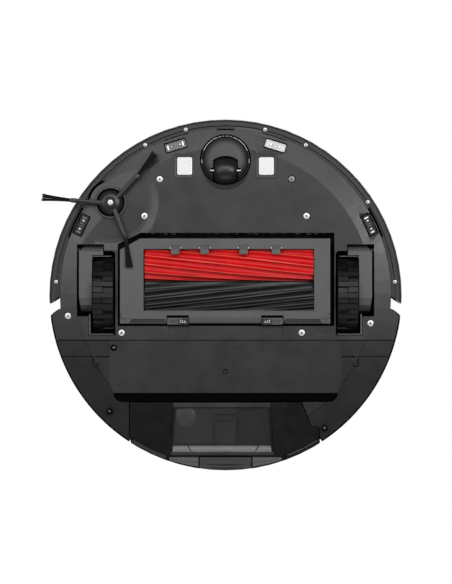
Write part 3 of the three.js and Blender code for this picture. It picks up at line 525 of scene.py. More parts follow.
def arc(radius, start, end, steps, middle=(0, 0)):
    angles = [math.radians(start + (end - start) * i / steps) for i in range(steps + 1)]
    return [(middle[0] + radius * math.cos(a), middle[1] + radius * math.sin(a)) for a in angles]


def rounded_rectangle(width, length, radius, steps):
    x, y = width / 2 - radius, length / 2 - radius
    corners = [(x, y, 0), (-x, y, 90), (-x, -y, 180), (x, -y, 270)]
    return [point for cx, cy, start in corners for point in arc(radius, start, start + 90, steps, (cx, cy))]


def band(inner, outer, start, end, low, high, steps=24, middle=(0, 0)):
    """An upright curved bar between two radii."""
    outline = arc(outer, start, end, steps, middle) + arc(inner, end, start, steps, middle)
    return prism(outline, low, high)


FLAT_Z = 11
FLAT_RADIUS = 147
PLATE_SLOPE = 0.256


def plate_z(x, y):
    """Height of the bottom plate's lower face: flat in the middle, rising towards the edge."""
    return FLAT_Z + max(0.0, math.hypot(x, y) - FLAT_RADIUS) * PLATE_SLOPE


def shadow_line(path, width):
    """A thin strip on the bottom plate along a path of (x, y) points: painted shadow in a seam, or a lighter
    edge line.
    """
    lift, depth, spacing = 0.04, 0.3, 2
    dense = [path[0]]
    for start, end in zip(path, path[1:]):
        steps = max(1, round(math.dist(start, end) / spacing))
        dense += [tuple(a + (b - a) * k / steps for a, b in zip(start, end)) for k in range(1, steps + 1)]

    def place(i, j):
        before, after = dense[max(0, i - 1)], dense[min(len(dense) - 1, i + 1)]
        side = (width / 2 if j in (1, 2) else -width / 2) / math.dist(before, after)
        x = dense[i][0] - (after[1] - before[1]) * side
        y = dense[i][1] + (after[0] - before[0]) * side
        return (x, y, plate_z(x, y) - lift + (depth if j > 1 else 0))

    return capped(len(dense), 4, place)


# -------- main brushes
ROLLER_LOW, ROLLER_HIGH = node_box("front_roller")
ROLLER_Z = centre("front_roller")[2]
ROLLER_RADIUS = 16.7
COLLAR_END = 6.5
ROLLER_X = (ROLLER_LOW[0] + COLLAR_END, ROLLER_HIGH[0] - COLLAR_END)
VANES = 12
VANE_TWIST = math.radians(68)
ALONG = 64


def vane_lean(share, vane):
    """The slight wave in a rubber vane's edge."""
    return 0.010 * math.sin(9 * share + 1.7 * vane)


def roller_point(y, sense, share, turn, radius):
    """A point of a roller, a share of the way along it; its vanes wind round by VANE_TWIST."""
    angle = sense * (turn + VANE_TWIST * (share - 0.5)) + 0.05
    x = ROLLER_X[0] + (ROLLER_X[1] - ROLLER_X[0]) * share
    return (x, y + radius * math.sin(angle), ROLLER_Z - radius * math.cos(angle))


def roller_shape(y, sense):
    """A rubber roller: curved vanes that wind round a core."""
    heights = [1.0, 0.985, 0.90, 0.82, 0.775, 0.755, 0.745, 0.745, 0.755, 0.775, 0.81, 0.86, 0.93, 0.985]
    spread = [0, 0.035, 0.07, 0.12, 0.19, 0.28, 0.38, 0.49, 0.60, 0.70, 0.79, 0.87, 0.93, 0.97]

    def place(i, j):
        share = i / (ALONG - 1)
        vane, step = divmod(j, len(heights))
        lean = vane_lean(share, vane) * (heights[step] > 0.9)
        turn = 2 * math.pi * (vane + spread[step]) / VANES + lean
        return roller_point(y, sense, share, turn, ROLLER_RADIUS * heights[step])

    return capped(ALONG, VANES * len(heights), place)


def roller_crest_highlights(y, sense):
    """Painted highlights: lighter strips along the crests of a roller's vanes."""
    crest = [(-0.035, 16.55), (0.03, 16.55), (0.03, 16.78), (-0.035, 16.78)]
    ribbons = []
    for vane in range(VANES):
        def place(i, j):
            share = i / (ALONG - 1)
            turn = 2 * math.pi * vane / VANES + vane_lean(share, vane) + crest[j][0]
            return roller_point(y, sense, share, turn, crest[j][1])

        ribbons.append(capped(ALONG, 4, place))
    return combine(*ribbons)


def roller_ends(y):
    """A stub shaft and a collar at each end."""
    outline = [(0, 0.3), (3.8, 0.3), (3.8, 4.9), (8.2, 4.9), (8.2, COLLAR_END), (0, COLLAR_END)]
    near = [(radius, ROLLER_LOW[0] + x) for radius, x in outline]
    far = [(radius, ROLLER_HIGH[0] - x) for radius, x in outline]
    return combine(lathe_across(near, 28, y, ROLLER_Z), lathe_across(far, 28, y, ROLLER_Z))


for end, sense, colour in (("front", 1, "red"), ("rear", -1, "black")):
    node, body = f"{end}_roller", f"{end}_brush"
    y = centre(node)[1]
    add_piece(f"{node}_vanes", roller_shape(y, sense), f"{colour}_rubber", body, [node], sharp_angle=50)
    # The crest strips are painted highlights.
    add_piece(f"{node}_edges", roller_crest_highlights(y, sense), f"{colour}_edge", body)
    add_piece(f"{node}_collars", roller_ends(y), "frame_grey", body)


# -------- tyres
TYRE_LOW, TYRE_HIGH = node_box("right_tyre")
WHEEL_X, WHEEL_Y, WHEEL_Z = centre("right_tyre")
WHEEL_RADIUS = (TYRE_HIGH[2] - TYRE_LOW[2]) / 2
TREAD_WIDTH = TYRE_HIGH[0] - TYRE_LOW[0] - 0.4


def tyre_shape():
    """A tyre of forty cross bars; on its outer and inner half in turn, every fourth bar is missing."""
    bars, seam, gap = 40, 34.3, 32.2
    offsets = [-4.45, -3.75, 3.75, 4.45]
    half = TREAD_WIDTH / 2
    columns = [(half - 1.5, 29.2), (half, 31.0), (half, None), (half - 0.5, None), (0.2, None)]
    columns += [(-across, radius) for across, radius in reversed(columns)]

    def crest_at(bar, step, column):
        if bar % 4 == (1 if column <= 4 else 3):
            return gap
        return seam if step in (0, 3) else WHEEL_RADIUS

    def place(i, j):
        bar, step = divmod(i, len(offsets))
        across, radius = columns[j]
        radius = radius or crest_at(bar, step, j) - (0.45 if j in (2, 7) else 0)
        angle = math.radians(9 * bar + offsets[step])
        return (WHEEL_X + across, WHEEL_Y + radius * math.sin(angle), WHEEL_Z - radius * math.cos(angle))

    return grid(bars * len(offsets), len(columns), place, close_rows=True, close_columns=True)


add_pair("tyre_tread", tyre_shape(), "tyre", "SIDE_wheel", "SIDE_tyre", sharp_angle=25)


# -------- side brush
HUB = centre("side_brush_screw")[:2]
STEM_END = 39.6
STRANDS = 84
ARMS = [
    {"stem": 184.9, "bristles": 185.6, "shift": 1.2, "length": 29.2},
    {"stem": 312.9, "bristles": 308.4, "shift": -1.8, "length": 27.4},
    {"stem": 68.1, "bristles": 82.6, "shift": 0.9, "length": 29.6},
]


def loft(sections):
    """A bar along +Y through rounded sections of (y, half width, low z, high z)."""
    steps = 20

    def place(i, j):
        y, half, low, high = sections[i]
        angle = 2 * math.pi * j / steps
        across = math.copysign(abs(math.cos(angle)) ** 0.6, math.cos(angle))
        up = math.copysign(abs(math.sin(angle)) ** 0.6, math.sin(angle))
        return (half * across, y, (low + high) / 2 + (high - low) / 2 * up)

    return capped(len(sections), steps, place)


def brush_hub_shape():
    """The domed hub, and three stems that each end in a ferrule."""
    dome = [(0, 5.9), (3.1, 5.9), (3.2, 3.3), (3.4, 3.1), (4.6, 3.1), (5.0, 3.4), (5.3, 4.2), (6.0, 4.5)]
    dome += [(7.2, 4.7), (8.6, 5.1), (10.0, 5.9), (11.2, 7.1), (12.1, 8.6), (12.7, 10.4), (12.9, 12.4)]
    dome += [(9, 12.4), (9, 16.6), (0, 16.6)]
    stem = [(6.5, 2.5, 5.0, 9.0), (12, 2.6, 4.6, 8.4), (20, 2.5, 4.2, 7.7), (30, 2.1, 3.6, 6.8)]
    stem.append((33.2, 2.0, 3.4, 6.5))
    ferrule = [(33.2, 2.4, 3.1, 6.6), (34.4, 2.45, 3.05, 6.5), (34.5, 2.2, 3.3, 6.3), (34.9, 2.2, 3.3, 6.3)]
    ferrule += [(35.0, 2.4, 3.05, 6.4), (39.2, 2.35, 3.0, 6.2), (STEM_END, 2.1, 3.2, 6.0)]
    parts = [lathe(dome, 64)]
    for arm in ARMS:
        for sections in (stem, ferrule):
            parts.append(moved(moved(loft(sections), (arm["shift"], 0, 0)), turn=arm["stem"] - 90))
    return moved(combine(*parts), (*HUB, 0))


def strand(start, bend, end, thickness):
    """One bristle: a thin tapering rod along a bent path."""
    def place(i, j):
        share = i / 5
        near, middle, far = (1 - share) ** 2, 2 * share * (1 - share), share**2
        x, y, z = (a * near + b * middle + c * far for a, b, c in zip(start, bend, end))
        radius = thickness * (1 - 0.35 * share) / 2
        angle = math.pi * j / 2
        return (x + radius * math.cos(angle), y, z + radius * math.sin(angle))

    return capped(6, 4, place)


def tuft_shape(arm, seed):
    chance = random.Random(seed)
    strands = []
    for _ in range(STRANDS):
        side = chance.uniform(-1, 1)
        depth = chance.uniform(0, 1)
        start = (1.6 * side, 0.2, 3.7 + 1.6 * depth)
        reach = arm["length"] * chance.uniform(0.93, 1.0)
        end = (3.7 * side + chance.uniform(-0.35, 0.35), reach, 1.15 + 0.5 * depth)
        bend = (1.9 * side + chance.uniform(-0.3, 0.3), reach * 0.5, 2.7 + 0.9 * depth)
        strands.append(strand(start, bend, end, 0.42))
    angle = math.radians(arm["stem"])
    x = HUB[0] + STEM_END * math.cos(angle) + arm["shift"] * math.sin(angle)
    y = HUB[1] + STEM_END * math.sin(angle) - arm["shift"] * math.cos(angle)
    return moved(combine(*strands), (x, y, 0), arm["bristles"] - 90)


def brush_collar_shape():
    """The raised ring round the hub; its lighter look is a painted highlight."""
    profile = [(14.2, 12.6), (14.2, 9.9), (14.5, 9.5), (15.0, 9.5), (15.4, 9.9), (15.5, 12.6), (14.2, 12.6)]
    return lathe(profile, 64, HUB)


add_piece("side_brush_collar", brush_collar_shape(), "collar_plastic", "chassis")
add_piece("side_brush_body", brush_hub_shape(), "hub_plastic", "side_brush", ["side_brush_hub"])
for number, arm in enumerate(ARMS, 1):
    shape = tuft_shape(arm, 40 + number)
    add_piece(f"side_brush_bristles_{number}", shape, "bristle", "side_brush", [f"side_brush_tuft_{number}"])


# -------- screws
def underside(node, x, y):
    """Height of a CAD node's lower face above the floor at (x, y)."""
    obj = frame["nodes"][node]
    start = obj.matrix_world.inverted() @ (Vector((x, y, -50)) * MM)
    found, point, *_ = obj.ray_cast(start, Vector((0, 0, 1)))
    if not found:
        raise ValueError(f"{node} has no lower face at {x}, {y}")
    return (obj.matrix_world @ point).z / MM


def cross_reach(angle, arm, half):
    """How far a cross-shaped recess reaches from its middle in a direction."""
    across, along = abs(math.cos(angle)), abs(math.sin(angle))
    reach_x = min(arm / max(across, 1e-9), half / max(along, 1e-9))
    reach_y = min(half / max(across, 1e-9), arm / max(along, 1e-9))
    return max(reach_x, reach_y)


def cross_screw(radius, height, arm=0.52, half=0.12, turn=0.0):
    """A pan head with a cross recess, which faces down; its lowest point is at z = 0."""
    corner = math.degrees(math.atan2(half, arm))
    quarter = [0, corner / 2, corner, (corner + 45) / 2, 45, (135 - corner) / 2, 90 - corner, 90 - corner / 2]
    angles = [math.radians(90 * k + a) for k in range(4) for a in quarter]
    dome = [(1, 1), (1, 0.55), (0.96, 0.34), (0.86, 0.16), (0.7, 0.05)]
    count = len(angles)
    points = []
    for share, level in dome:
        reach = radius * share
        points += [(reach * math.cos(a), reach * math.sin(a), level * height) for a in angles]
    for scale, z in ((1, 0.0), (0.72, 0.30 * radius)):
        reaches = [(a, scale * radius * cross_reach(a, arm, half)) for a in angles]
        points += [(reach * math.cos(a), reach * math.sin(a), z) for a, reach in reaches]
    points.append((0, 0, 0.5 * radius))
    faces = []
    for start in range(0, (len(dome) + 1) * count, count):
        for j in range(count):
            k = (j + 1) % count
            faces.append([start + j, start + k, start + count + k, start + count + j])
    last = (len(dome) + 1) * count
    faces += [[last + j, last + (j + 1) % count, last + count] for j in range(count)]
    faces.append(list(range(count)))
    return moved((points, faces), turn=turn)


def cross_floor(radius, turn, arm=0.52, half=0.12):
    """The dark floor of a cross recess, which is painted shade."""
    long, short = 0.92 * arm * radius, 0.92 * half * radius
    bars = [box(-long, long, -short, short, 0.12, 0.3), box(-short, short, -long, long, 0.12, 0.3)]
    return moved(combine(*bars), turn=turn)


def add_chassis_screws():
    """Cross screws in place of the CAD's plain ones, each turned its own way; the second is dull."""
    floors = []
    for number, turn in enumerate((10, 35, 62, 20, 80, 5, 48, 28), 1):
        node = f"chassis_screw_{number}"
        place = (*centre(node)[:2], node_box(node)[0][2])
        look = "screw_dull" if number == 2 else "screw_steel"
        screw = moved(cross_screw(3.4, 1.8, turn=turn), place)
        add_piece(f"cross_screw_{number}", screw, look, "chassis", [node])
        floors.append(moved(cross_floor(3.4, turn), place))
    # Painted shade on the floors of the cross recesses.
    add_piece("cross_screw_recesses", combine(*floors), "dark_steel", "chassis")


def add_side_brush_screw():
    """A cross screw with a small bright boss in its middle."""
    node = "side_brush_screw"
    boss = lathe([(0, 1.5), (1.4, 1.5), (1.4, 2.2), (0, 2.2)], 20)
    place = (*HUB, node_box(node)[0][2])
    shape = combine(moved(cross_screw(2.9, 1.6, turn=30), place), moved(boss, place))
    add_piece("side_brush_cross_screw", shape, "screw_steel", "side_brush", [node])


def add_bumper_screws():
    """Small screws along the bumper's seam, each sunk a little into the lower of the lips beside it."""
    seam_radius, centre_y, sunk = 171.0, 0.8, 0.25
    recess = {"arm": 0.42, "half": 0.16}
    floors = []
    for number, angle in enumerate((-85.6, -56.9, -28.2, -13.5, 13.5, 28.2, 56.9, 85.6), 1):
        x = seam_radius * math.sin(math.radians(angle))
        y = centre_y - seam_radius * math.cos(math.radians(angle))
        z = min(underside("bumper_shell", scale * x, scale * y) for scale in (0.985, 1.012)) - sunk
        screw = moved(cross_screw(2.1, 1.6, turn=angle, **recess), (x, y, z))
        add_piece(f"bumper_screw_{number}", screw, "screw_steel", "bumper")
        floors.append(moved(cross_floor(2.1, angle, **recess), (x, y, z)))
    # Painted shade on the floors of the cross recesses.
    add_piece("bumper_screw_recesses", combine(*floors), "dark_steel", "bumper")


def add_hidden_screws():
    """Screws at the bottom of the three round holes in the rear base plate, painted dark as shade, in
    near-black liners of painted shadow.
    """
    liner = [(0, 12.75), (2.2, 12.75), (2.9, 12.3), (2.95, 11.15), (3.15, 11.1), (3.15, 12.85), (0, 12.85)]
    for number, (x, y, turn) in enumerate(((-112, 54, 15), (-116.4, 117.9, 40), (99.4, 134.7, 65)), 1):
        add_piece(f"screw_hole_{number}", moved(lathe(liner, 36), (x, y, 0)), "hole_black", "chassis")
        shape = moved(cross_screw(1.7, 0.9, turn=turn), (x, y, 12.0))
        add_piece(f"deep_screw_{number}", shape, "dark_steel", "chassis")


add_chassis_screws()
add_side_brush_screw()
add_bumper_screws()
add_hidden_screws()


# -------- charging contacts
def contact_frame_shape(x, y):
    """A rounded lip round the contact's pocket."""
    outer = rounded_rectangle(20.6, 23.4, 3.4, 6)
    inner = rounded_rectangle(17.6, 20.2, 2.2, 6)
    crest = [(0.94 * a, 0.95 * b) for a, b in outer]
    rings = [(outer, 11.1), (outer, 10.75), (crest, 10.5), (inner, 10.8), (inner, 12.4)]

    def place(i, j):
        ring, z = rings[i]
        return (x + ring[j][0], y + ring[j][1], z)

    return grid(len(rings), len(outer), place, close_rows=True, close_columns=True)


FRAME_SHIFT = 0.1
for side in ("left", "right"):
    x, y, _ = centre(f"{side}_charging_contact")
    add_piece(f"{side}_contact_frame", contact_frame_shape(x, y + FRAME_SHIFT), "edge_grey", "chassis")


# -------- caster
FORK_LOW, FORK_HIGH = node_box("caster_fork")
CASTER_Y = FORK_LOW[1] + (FORK_HIGH[0] - FORK_LOW[0]) / 2
_, CASTER_WHEEL_Y, CASTER_WHEEL_Z = centre("caster_wheel")


def caster_wheel_shape():
    """A barrel-shaped wheel with a bore for its axle."""
    half = [(13.5, 0), (13.48, 1.5), (13.4, 3.4), (13.15, 5.4), (12.7, 7.3), (12.1, 8.9), (11.3, 10.2)]
    half += [(10.4, 11.0), (9.4, 11.5), (4.5, 11.5), (4.2, 10.9), (2.0, 10.9)]
    outside = [(radius, -x) for radius, x in reversed(half)] + half[1:]
    bore = [(1.9, 10.8), (1.9, -10.8)]
    return lathe_across([*outside, *bore, outside[0]], 64, CASTER_WHEEL_Y, CASTER_WHEEL_Z)


def caster_dome_shape():
    """The turning fork: a low dome with a lip, a slot for the wheel and pockets for its axle."""
    profile = [(0, 7.9), (8, 8.05), (13, 8.3), (16, 8.7), (18, 9.3), (19.8, 10.2), (21.4, 11.4)]
    profile += [(22.4, 12.4), (22.9, 13.1), (23.1, 13.6), (23.4, 13.6), (23.5, 12.5), (23.7, 12.3)]
    profile += [(24.1, 12.4), (24.35, 12.9), (24.4, 28), (22.5, 30.6), (5, 30.6), (5, 36.9), (0, 36.9)]
    slot_front = arc(21.7, 235, 305, 20, (0, CASTER_WHEEL_Y + 7.2))
    slot = prism([*slot_front, (12.6, -122), (13.2, -100), (-13.2, -100), (-12.6, -122)], 0, 28.3)
    pockets = [box(-15.2, -12, -126.3, -121.4, 0, 17.5), box(12, 15.2, -126.3, -121.4, 0, 17.5)]
    return carved(lathe(profile, 96, (0, CASTER_Y)), slot, *pockets)


def caster_pins_shape():
    """The axle, with a shoulder near each end."""
    profile = [(0, -17.6), (1.3, -17.6), (1.5, -17.4), (1.5, -13.2), (1.25, -13.0), (1.25, 13.0), (1.5, 13.2)]
    profile += [(1.5, 17.4), (1.3, 17.6), (0, 17.6)]
    return lathe_across(profile, 24, CASTER_WHEEL_Y, CASTER_WHEEL_Z)


def caster_rim_shape():
    """Painted highlights: bright arcs round the front of the fork's lip, broken in places."""
    arcs = [(203, 212), (213, 236), (238, 250), (254, 259), (263, 266), (272, 277), (281, 285), (288, 300)]
    arcs += [(302, 326), (327, 337), (172, 181), (-1, 8)]
    return combine(*[band(23.5, 24.0, a, b, 12.05, 12.6, 20, (0, CASTER_Y)) for a, b in arcs])


def caster_dish_shape():
    """A dark sheet of painted shade over the floor of the crescent-shaped dish behind the caster."""
    near = arc(25.75, 32, 148, 30, (0, CASTER_Y))
    far = arc(23.8, 180, 0, 36, (0, CASTER_Y + 6.4))
    outside = [point for point in far if math.dist(point, (0, CASTER_Y)) > 25.8]
    return prism([*near, *outside], 12.2, 12.28)


# Painted shade in the dish behind the caster.
add_piece("caster_dish", caster_dish_shape(), "dish_plastic", "chassis")
# Painted highlights round the fork's lip.
add_piece("caster_rim_arcs", caster_rim_shape(), "rim_worn", "caster")
add_piece("caster_dome", caster_dome_shape(), "caster_plastic", "caster", ["caster_fork"], round_edges=0.15)
add_piece("caster_wheel_barrel", caster_wheel_shape(), "caster_wheel", "caster_roller", ["caster_wheel"])
add_piece("caster_axle_pins", caster_pins_shape(), "axle_steel", "caster", ["caster_axle"])


# -------- cliff sensors
# The four cliff sensors are alike; the white block and bright lenses at the front right and the grey block at
# the front left are painted reflections.
SENSORS = {  # each sensor's turn and the looks of its block and lenses
    "front_left": (-17, "sensor_grey", "lens_dark"),
    "front_right": (17, "sensor_white", "lens_bright"),
    "left": (-65, "sensor_dark", "lens_dark"),
    "right": (65, "sensor_dark", "lens_dark"),
}


def sensor_block_shape():
    """The sensor's block: a frame round two lens wells and a bar between them."""
    length, width, rim_half, rim_z = 10.3, 3.9, 0.35, (14.1, 15.1)
    block = box(-length, length, -width, width, 15.0, 19)
    long_y = width - rim_half
    rims = [box(-length, length, y - rim_half, y + rim_half, *rim_z) for y in (-long_y, long_y)]
    rims += [box(x - rim_half, x + rim_half, -width, width, *rim_z) for x in (-9.95, -2.3, 2.3, 9.95)]
    return combine(block, *rims, box(-1.9, 1.9, -2.6, 2.6, 14.3, 15.1))


def sensor_lens_shape():
    """Two domed lenses with small prisms beside them."""
    dome = lathe([(0, 13.9), (0.8, 13.98), (1.4, 14.25), (1.75, 14.7), (1.8, 15.3), (0, 15.3)], 24)
    side_prism_block = box(-0.7, 0.7, -2.1, 2.1, -0.5, 0.4)
    parts = [moved(dome, (x, 0.1, 0)) for x in (-4.4, 4.4)]
    parts += [moved(side_prism_block, (x, 0, 14.8), tilt=(0, 9)) for x in (-7.7, 7.7)]
    parts += [box(x - 0.25, x + 0.25, -1.9, 1.9, 14.05, 14.5) for x in (-1.2, 1.2)]
    return combine(*parts)


for name, (turn, block_look, lens_look) in SENSORS.items():
    node = f"{name}_cliff_sensor"
    place = (*centre(node)[:2], 0)
    block = moved(sensor_block_shape(), place, turn)
    lenses = moved(sensor_lens_shape(), place, turn)
    add_piece(f"{name}_sensor_block", block, block_look, "chassis", [node], round_edges=0.12)
    add_piece(f"{name}_sensor_lenses", lenses, lens_look, "chassis")


# -------- dustbin
RIB_BOTTOM = 15.4
RIB_TOP = 24


def bin_window_insides():
    """Straight and curved ribs and a flap behind the dustbin's window."""
    parts = [box(-10.6, 11.4, 120.0, 120.7, RIB_BOTTOM - 0.1, RIB_TOP)]
    parts.append(prism([(-10.2, 122), (10.2, 122), (6.5, 127.5), (-6.5, 127.5)], RIB_BOTTOM + 0.2, RIB_TOP))
    parts += [box(x - 0.5, x + 0.5, 125, 152, RIB_BOTTOM, RIB_TOP) for x in (-11.6, 12.2)]
    for middle_x, first, last in ((-19, 130, 172), (14.5, 8, 50)):
        parts.append(band(19.2, 20, first, last, RIB_BOTTOM, RIB_TOP, 12, (middle_x, 146)))
    return combine(*parts)


def bin_boss_shape():
    """A low round boss on the bin's ceiling, with a hole in its middle."""
    boss = [(0, 18.1), (0.9, 18.1), (1.1, 16.8), (5.5, 16.9), (8.6, 17.3), (10.4, 18.0), (10.5, 19), (0, 19)]
    return moved(lathe(boss, 40), (-40.2, 123, 0))


def bin_shelf_shape():
    """The shelf along the bin's rear wall, seen through the window."""
    outline = [(152.5, 17.4), (155.4, 15.9), (158.6, RIB_BOTTOM), (160.5, RIB_BOTTOM)]
    outline += [(160.5, RIB_TOP), (152.5, RIB_TOP)]
    return side_prism(outline, -53.6, 47)


def window_strip(left, right, front, rear):
    """A thin printed strip on the rim that holds the window."""
    return box(left, right, front, rear, 12.85, 12.98)


def bin_rim_shape(first, last, inner, outer, inner_z, outer_z):
    """A sloped strip along the bin's lower rim; angles are measured from +X."""
    steps, top = 24, outer_z + 1.6
    section = [(inner, inner_z), (outer, outer_z), (outer, top), (inner, top)]

    def place(i, j):
        angle = math.radians(first + (last - first) * i / steps)
        radius, z = section[j]
        return (radius * math.cos(angle), radius * math.sin(angle), z)

    return capped(steps + 1, 4, place)


def button_lines_shape():
    """The grooves that cross the release button."""
    return combine(band(171.4, 172.1, 81.8, 98.2, 14.6, 17), band(174.9, 175.5, 82, 98, 16.4, 19))


def rear_facet_shape():
    """The sloping facet beside the release button, in two halves with a groove between them."""
    left, right, front, rim_radius, slope, steps = 27.4, 56.4, 163.9, 176.3, 0.478, 12
    parts = []
    for first, last in ((0.0, 0.52), (0.56, 0.97)):
        def place(i, j):
            x = left + (right - left) * i / steps
            rim = math.sqrt(rim_radius**2 - x * x) - 0.3
            y = front + (rim - front) * (last if j in (1, 2) else first)
            return (x, y, 12.85 + (y - 163.6) * slope + (0.7 if j > 1 else 0))

        parts.append(capped(steps + 1, 4, place))
    return both_sides(combine(*parts))


def slot_liner_shape():
    """A near-black sheet of painted shadow in the slot in front of the dustbin."""
    ends = arc(7.4, 0, 90, 8, (104.2, 100.3)) + arc(7.4, 90, 180, 8, (-104.0, 100.3))
    return prism([(-111.4, 99.7), (111.6, 99.7), *ends], 13.4, 13.8)


add_piece("dustbin_rear_facets", rear_facet_shape(), "rim_grey", "dustbin")
add_piece("dustbin_backing", box(-53.8, 47.2, 111.6, 152.4, 18.2, 19.0), "bin_backing", "dustbin")
add_piece("slot_liner", slot_liner_shape(), "hole_black", "chassis")
add_piece("dustbin_ribs", bin_window_insides(), "bin_ribs", "dustbin", round_edges=0.2)
add_piece("dustbin_shelf", bin_shelf_shape(), "bin_shelf", "dustbin", round_edges=0.3)
add_piece("dustbin_boss", bin_boss_shape(), "bin_boss", "dustbin")
add_piece("dustbin_ceiling", box(-52.6, 10.4, 112, 150, 17.9, 18.1), "bin_ceiling", "dustbin")
add_piece("window_rim_front_left", window_strip(-52.4, 10.4, 109.2, 113.5), "window_rim", "dustbin")
add_piece("window_rim_front_right", window_strip(10.4, 45.0, 109.2, 113.5), "window_rim_dark", "dustbin")
add_piece("window_rim_rear", window_strip(-55.3, 48.2, 158.6, 161.2), "window_rim", "dustbin")
add_piece("dustbin_rim_left", bin_rim_shape(110.0, 122.4, 172.7, 176.3, 13.95, 18.0), "rim_grey", "dustbin")
add_piece("dustbin_rim_right", bin_rim_shape(57.4, 69.6, 174.0, 176.4, 15.4, 18.1), "hub_plastic", "dustbin")
add_piece("dustbin_rim_line", bin_rim_shape(58.0, 69.0, 173.0, 173.8, 14.25, 15.15), "rim_line", "dustbin")
add_piece("release_button_lines", button_lines_shape(), "black_plastic", "release_button")


# -------- brush guard
def guard_trim_shape():
    """Raised lines and little blocks on the guard's rear bar."""
    low = underside("brush_guard", -95, 0)
    parts = [box(-103.6, 102.6, 17.4, 17.9, low - 0.25, low + 0.6)]
    parts += [box(x - 2.6, x + 2.6, 19.4, 24.2, low - 0.18, low + 0.6) for x in (-101.8, 101.2)]
    return combine(*parts)


def guard_tab_glints_shape():
    """Painted glints: small bright bars at the feet of the guard's tabs."""
    places = [x + 5.1 * side for x in (-50.1, -20.6, 17.8, 50.9) for side in (-1, 1)]
    return combine(*[box(x - 0.35, x + 0.35, -46.9, -45.3, 3.0, 4.2) for x in places])


def guard_channels_shape():
    """The dark channels along the rear of the guard, with slanted ends."""
    outline = [(58.6, 25.2), (94.0, 25.2), (97.0, 29.2), (57.6, 29.2)]
    low = underside("brush_guard", 80, 27)
    return both_sides(prism(outline, low - 0.12, low + 0.4))


def latch_glint_shape(x, side):
    """Painted glints: small bright bars in a latch's pocket, shaped as a coil and a pin that catch the light.
    """
    low, high = 3.7, 4.3
    parts = []
    for k in range(3):
        near, far = (x + side * (start + 2.2 * k) for start in (2.2, 3.0))
        parts.append(box(near, far, 25.6 + 0.6 * k, 27.4 + 0.3 * k, low, high))
    return combine(*parts, box(x + side * 2.0, x + side * 8.6, 28.2, 28.6, low, high))


add_piece("guard_rear_channels", guard_channels_shape(), "black_plastic", "brush_head", round_edges=0.1)
add_piece("guard_trim", guard_trim_shape(), "frame_grey", "brush_head", round_edges=0.1)
# Painted glints beside the guard's tabs.
add_piece("guard_tab_glints", guard_tab_glints_shape(), "screw_steel", "brush_head", round_edges=0.1)
for name, side in (("left", 1), ("right", -1)):
    x = centre(f"{name}_guard_latch")[0]
    body = f"{name}_latch"
    pocket = box(x + side * 0.8, x + side * 10.2, 24.6, 29.9, 3.95, 4.7)
    add_piece(f"{name}_latch_pocket", pocket, "black_plastic", body, round_edges=0.15)
    # Painted glints in the latch's pocket.
    add_piece(f"{name}_latch_glints", latch_glint_shape(x, side), "screw_steel", body, round_edges=0.1)


# -------- seams of the bottom plate
BUMPER_MIDDLE = (0, 1.5)


def wing_seams_shape():
    """Painted shadow in the step, the hook and the corner line on the right wing of the rear base plate."""
    hook = [(133.2, 62.7), (133.2, 70.5), (132.2, 72.4), (130.0, 72.8), (128.0, 71.6), (127.4, 69.6)]
    step = shadow_line([(134, 62.7), (163, 62.7)], 0.75)
    corner = shadow_line([(116.2, 62.8), (130.6, 62.8)], 1.1)
    return combine(step, shadow_line([*hook, (129.0, 68.6)], 0.8), corner)


def front_seams_shape():
    """Painted shadow: the dark lines at the front, just inside the bumper."""
    return combine(*[shadow_line(arc(165.6, start, start + 8.5, 12), 0.8) for start in (283, 248.5)])


# Painted shadow in the joint between the chassis and the rear base plate, and the dark slit of painted shadow
# in the plate's front edge.
plate_seam = shadow_line([(-168.6, 46.4), (168.6, 46.4)], 0.9)
front_slit = shadow_line([(-8.8, -164.9), (-4, -165.2), (4, -165.2), (8.8, -164.9)], 1.3)
# Lighter lines along the edge of the rear plate's raised panels, and of the pockets round the two front
# sensors.
panel_edge = shadow_line([(116.1, 63.6), (116.1, 91.5)], 0.5)
pocket_edge = shadow_line([(25.3, -159.2), (31.8, -140.6)], 0.55)
# Painted shadow along the rear shell's lower edge and in the groove round the bumper's underside, and a ridge
# on the bumper's lip, lighter as a painted highlight.
shell_edge_shadow = band(176.0, 177.5, 8.0, 56.6, 21.1, 21.5, 60)
bumper_groove = band(170.45, 170.95, 183.2, 356.8, 19.75, 20.15, 96, BUMPER_MIDDLE)
lip_ridge = band(167.0, 169.6, 273.6, 282.4, 19.25, 19.6, 20, BUMPER_MIDDLE)

add_pair("wing_seams", wing_seams_shape(), "hole_black", "chassis")
add_pair("panel_edge", panel_edge, "rear_edge", "chassis")
add_piece("plate_seam", plate_seam, "hole_black", "chassis")
add_piece("shell_lower_edge_shadow", both_sides(shell_edge_shadow), "hole_black", "chassis")
add_piece("sensor_pocket_edges", both_sides(pocket_edge), "edge_grey", "chassis")
add_piece("front_slit", front_slit, "hole_black", "chassis")
add_piece("bumper_groove", bumper_groove, "hole_black", "bumper")
add_piece("front_seams", front_seams_shape(), "hole_black", "chassis")
add_piece("bumper_lip_ridge", lip_ridge, "collar_plastic", "bumper", round_edges=0.1)


# -------- small parts in the gaps
def gap_parts_shape():
    """Cable clips and ribs on the wall in front of the brush head."""
    chance = random.Random(7)
    parts, x = [], -80.0
    while x < 104:
        width = chance.uniform(1.2, 7.0)
        depth = chance.uniform(0.6, 1.6)
        parts.append(box(x, x + width, -61.2, -61.2 + depth, 13.5 + chance.uniform(0, 3), 26))
        x += width + chance.uniform(1.5, 9.0)
    return combine(*parts)


add_piece("gap_ribs", gap_parts_shape(), "gap_plastic", "chassis", round_edges=0.15)


def drive_lip_shape():
    """The gear case's thin lip in front of the tread, and a small block at its outer end."""
    return combine(box(114.4, 133.2, -38.3, -37.5, 12.2, 13.2), box(133.2, 134.6, -38.4, -36.4, 11.0, 13.2))


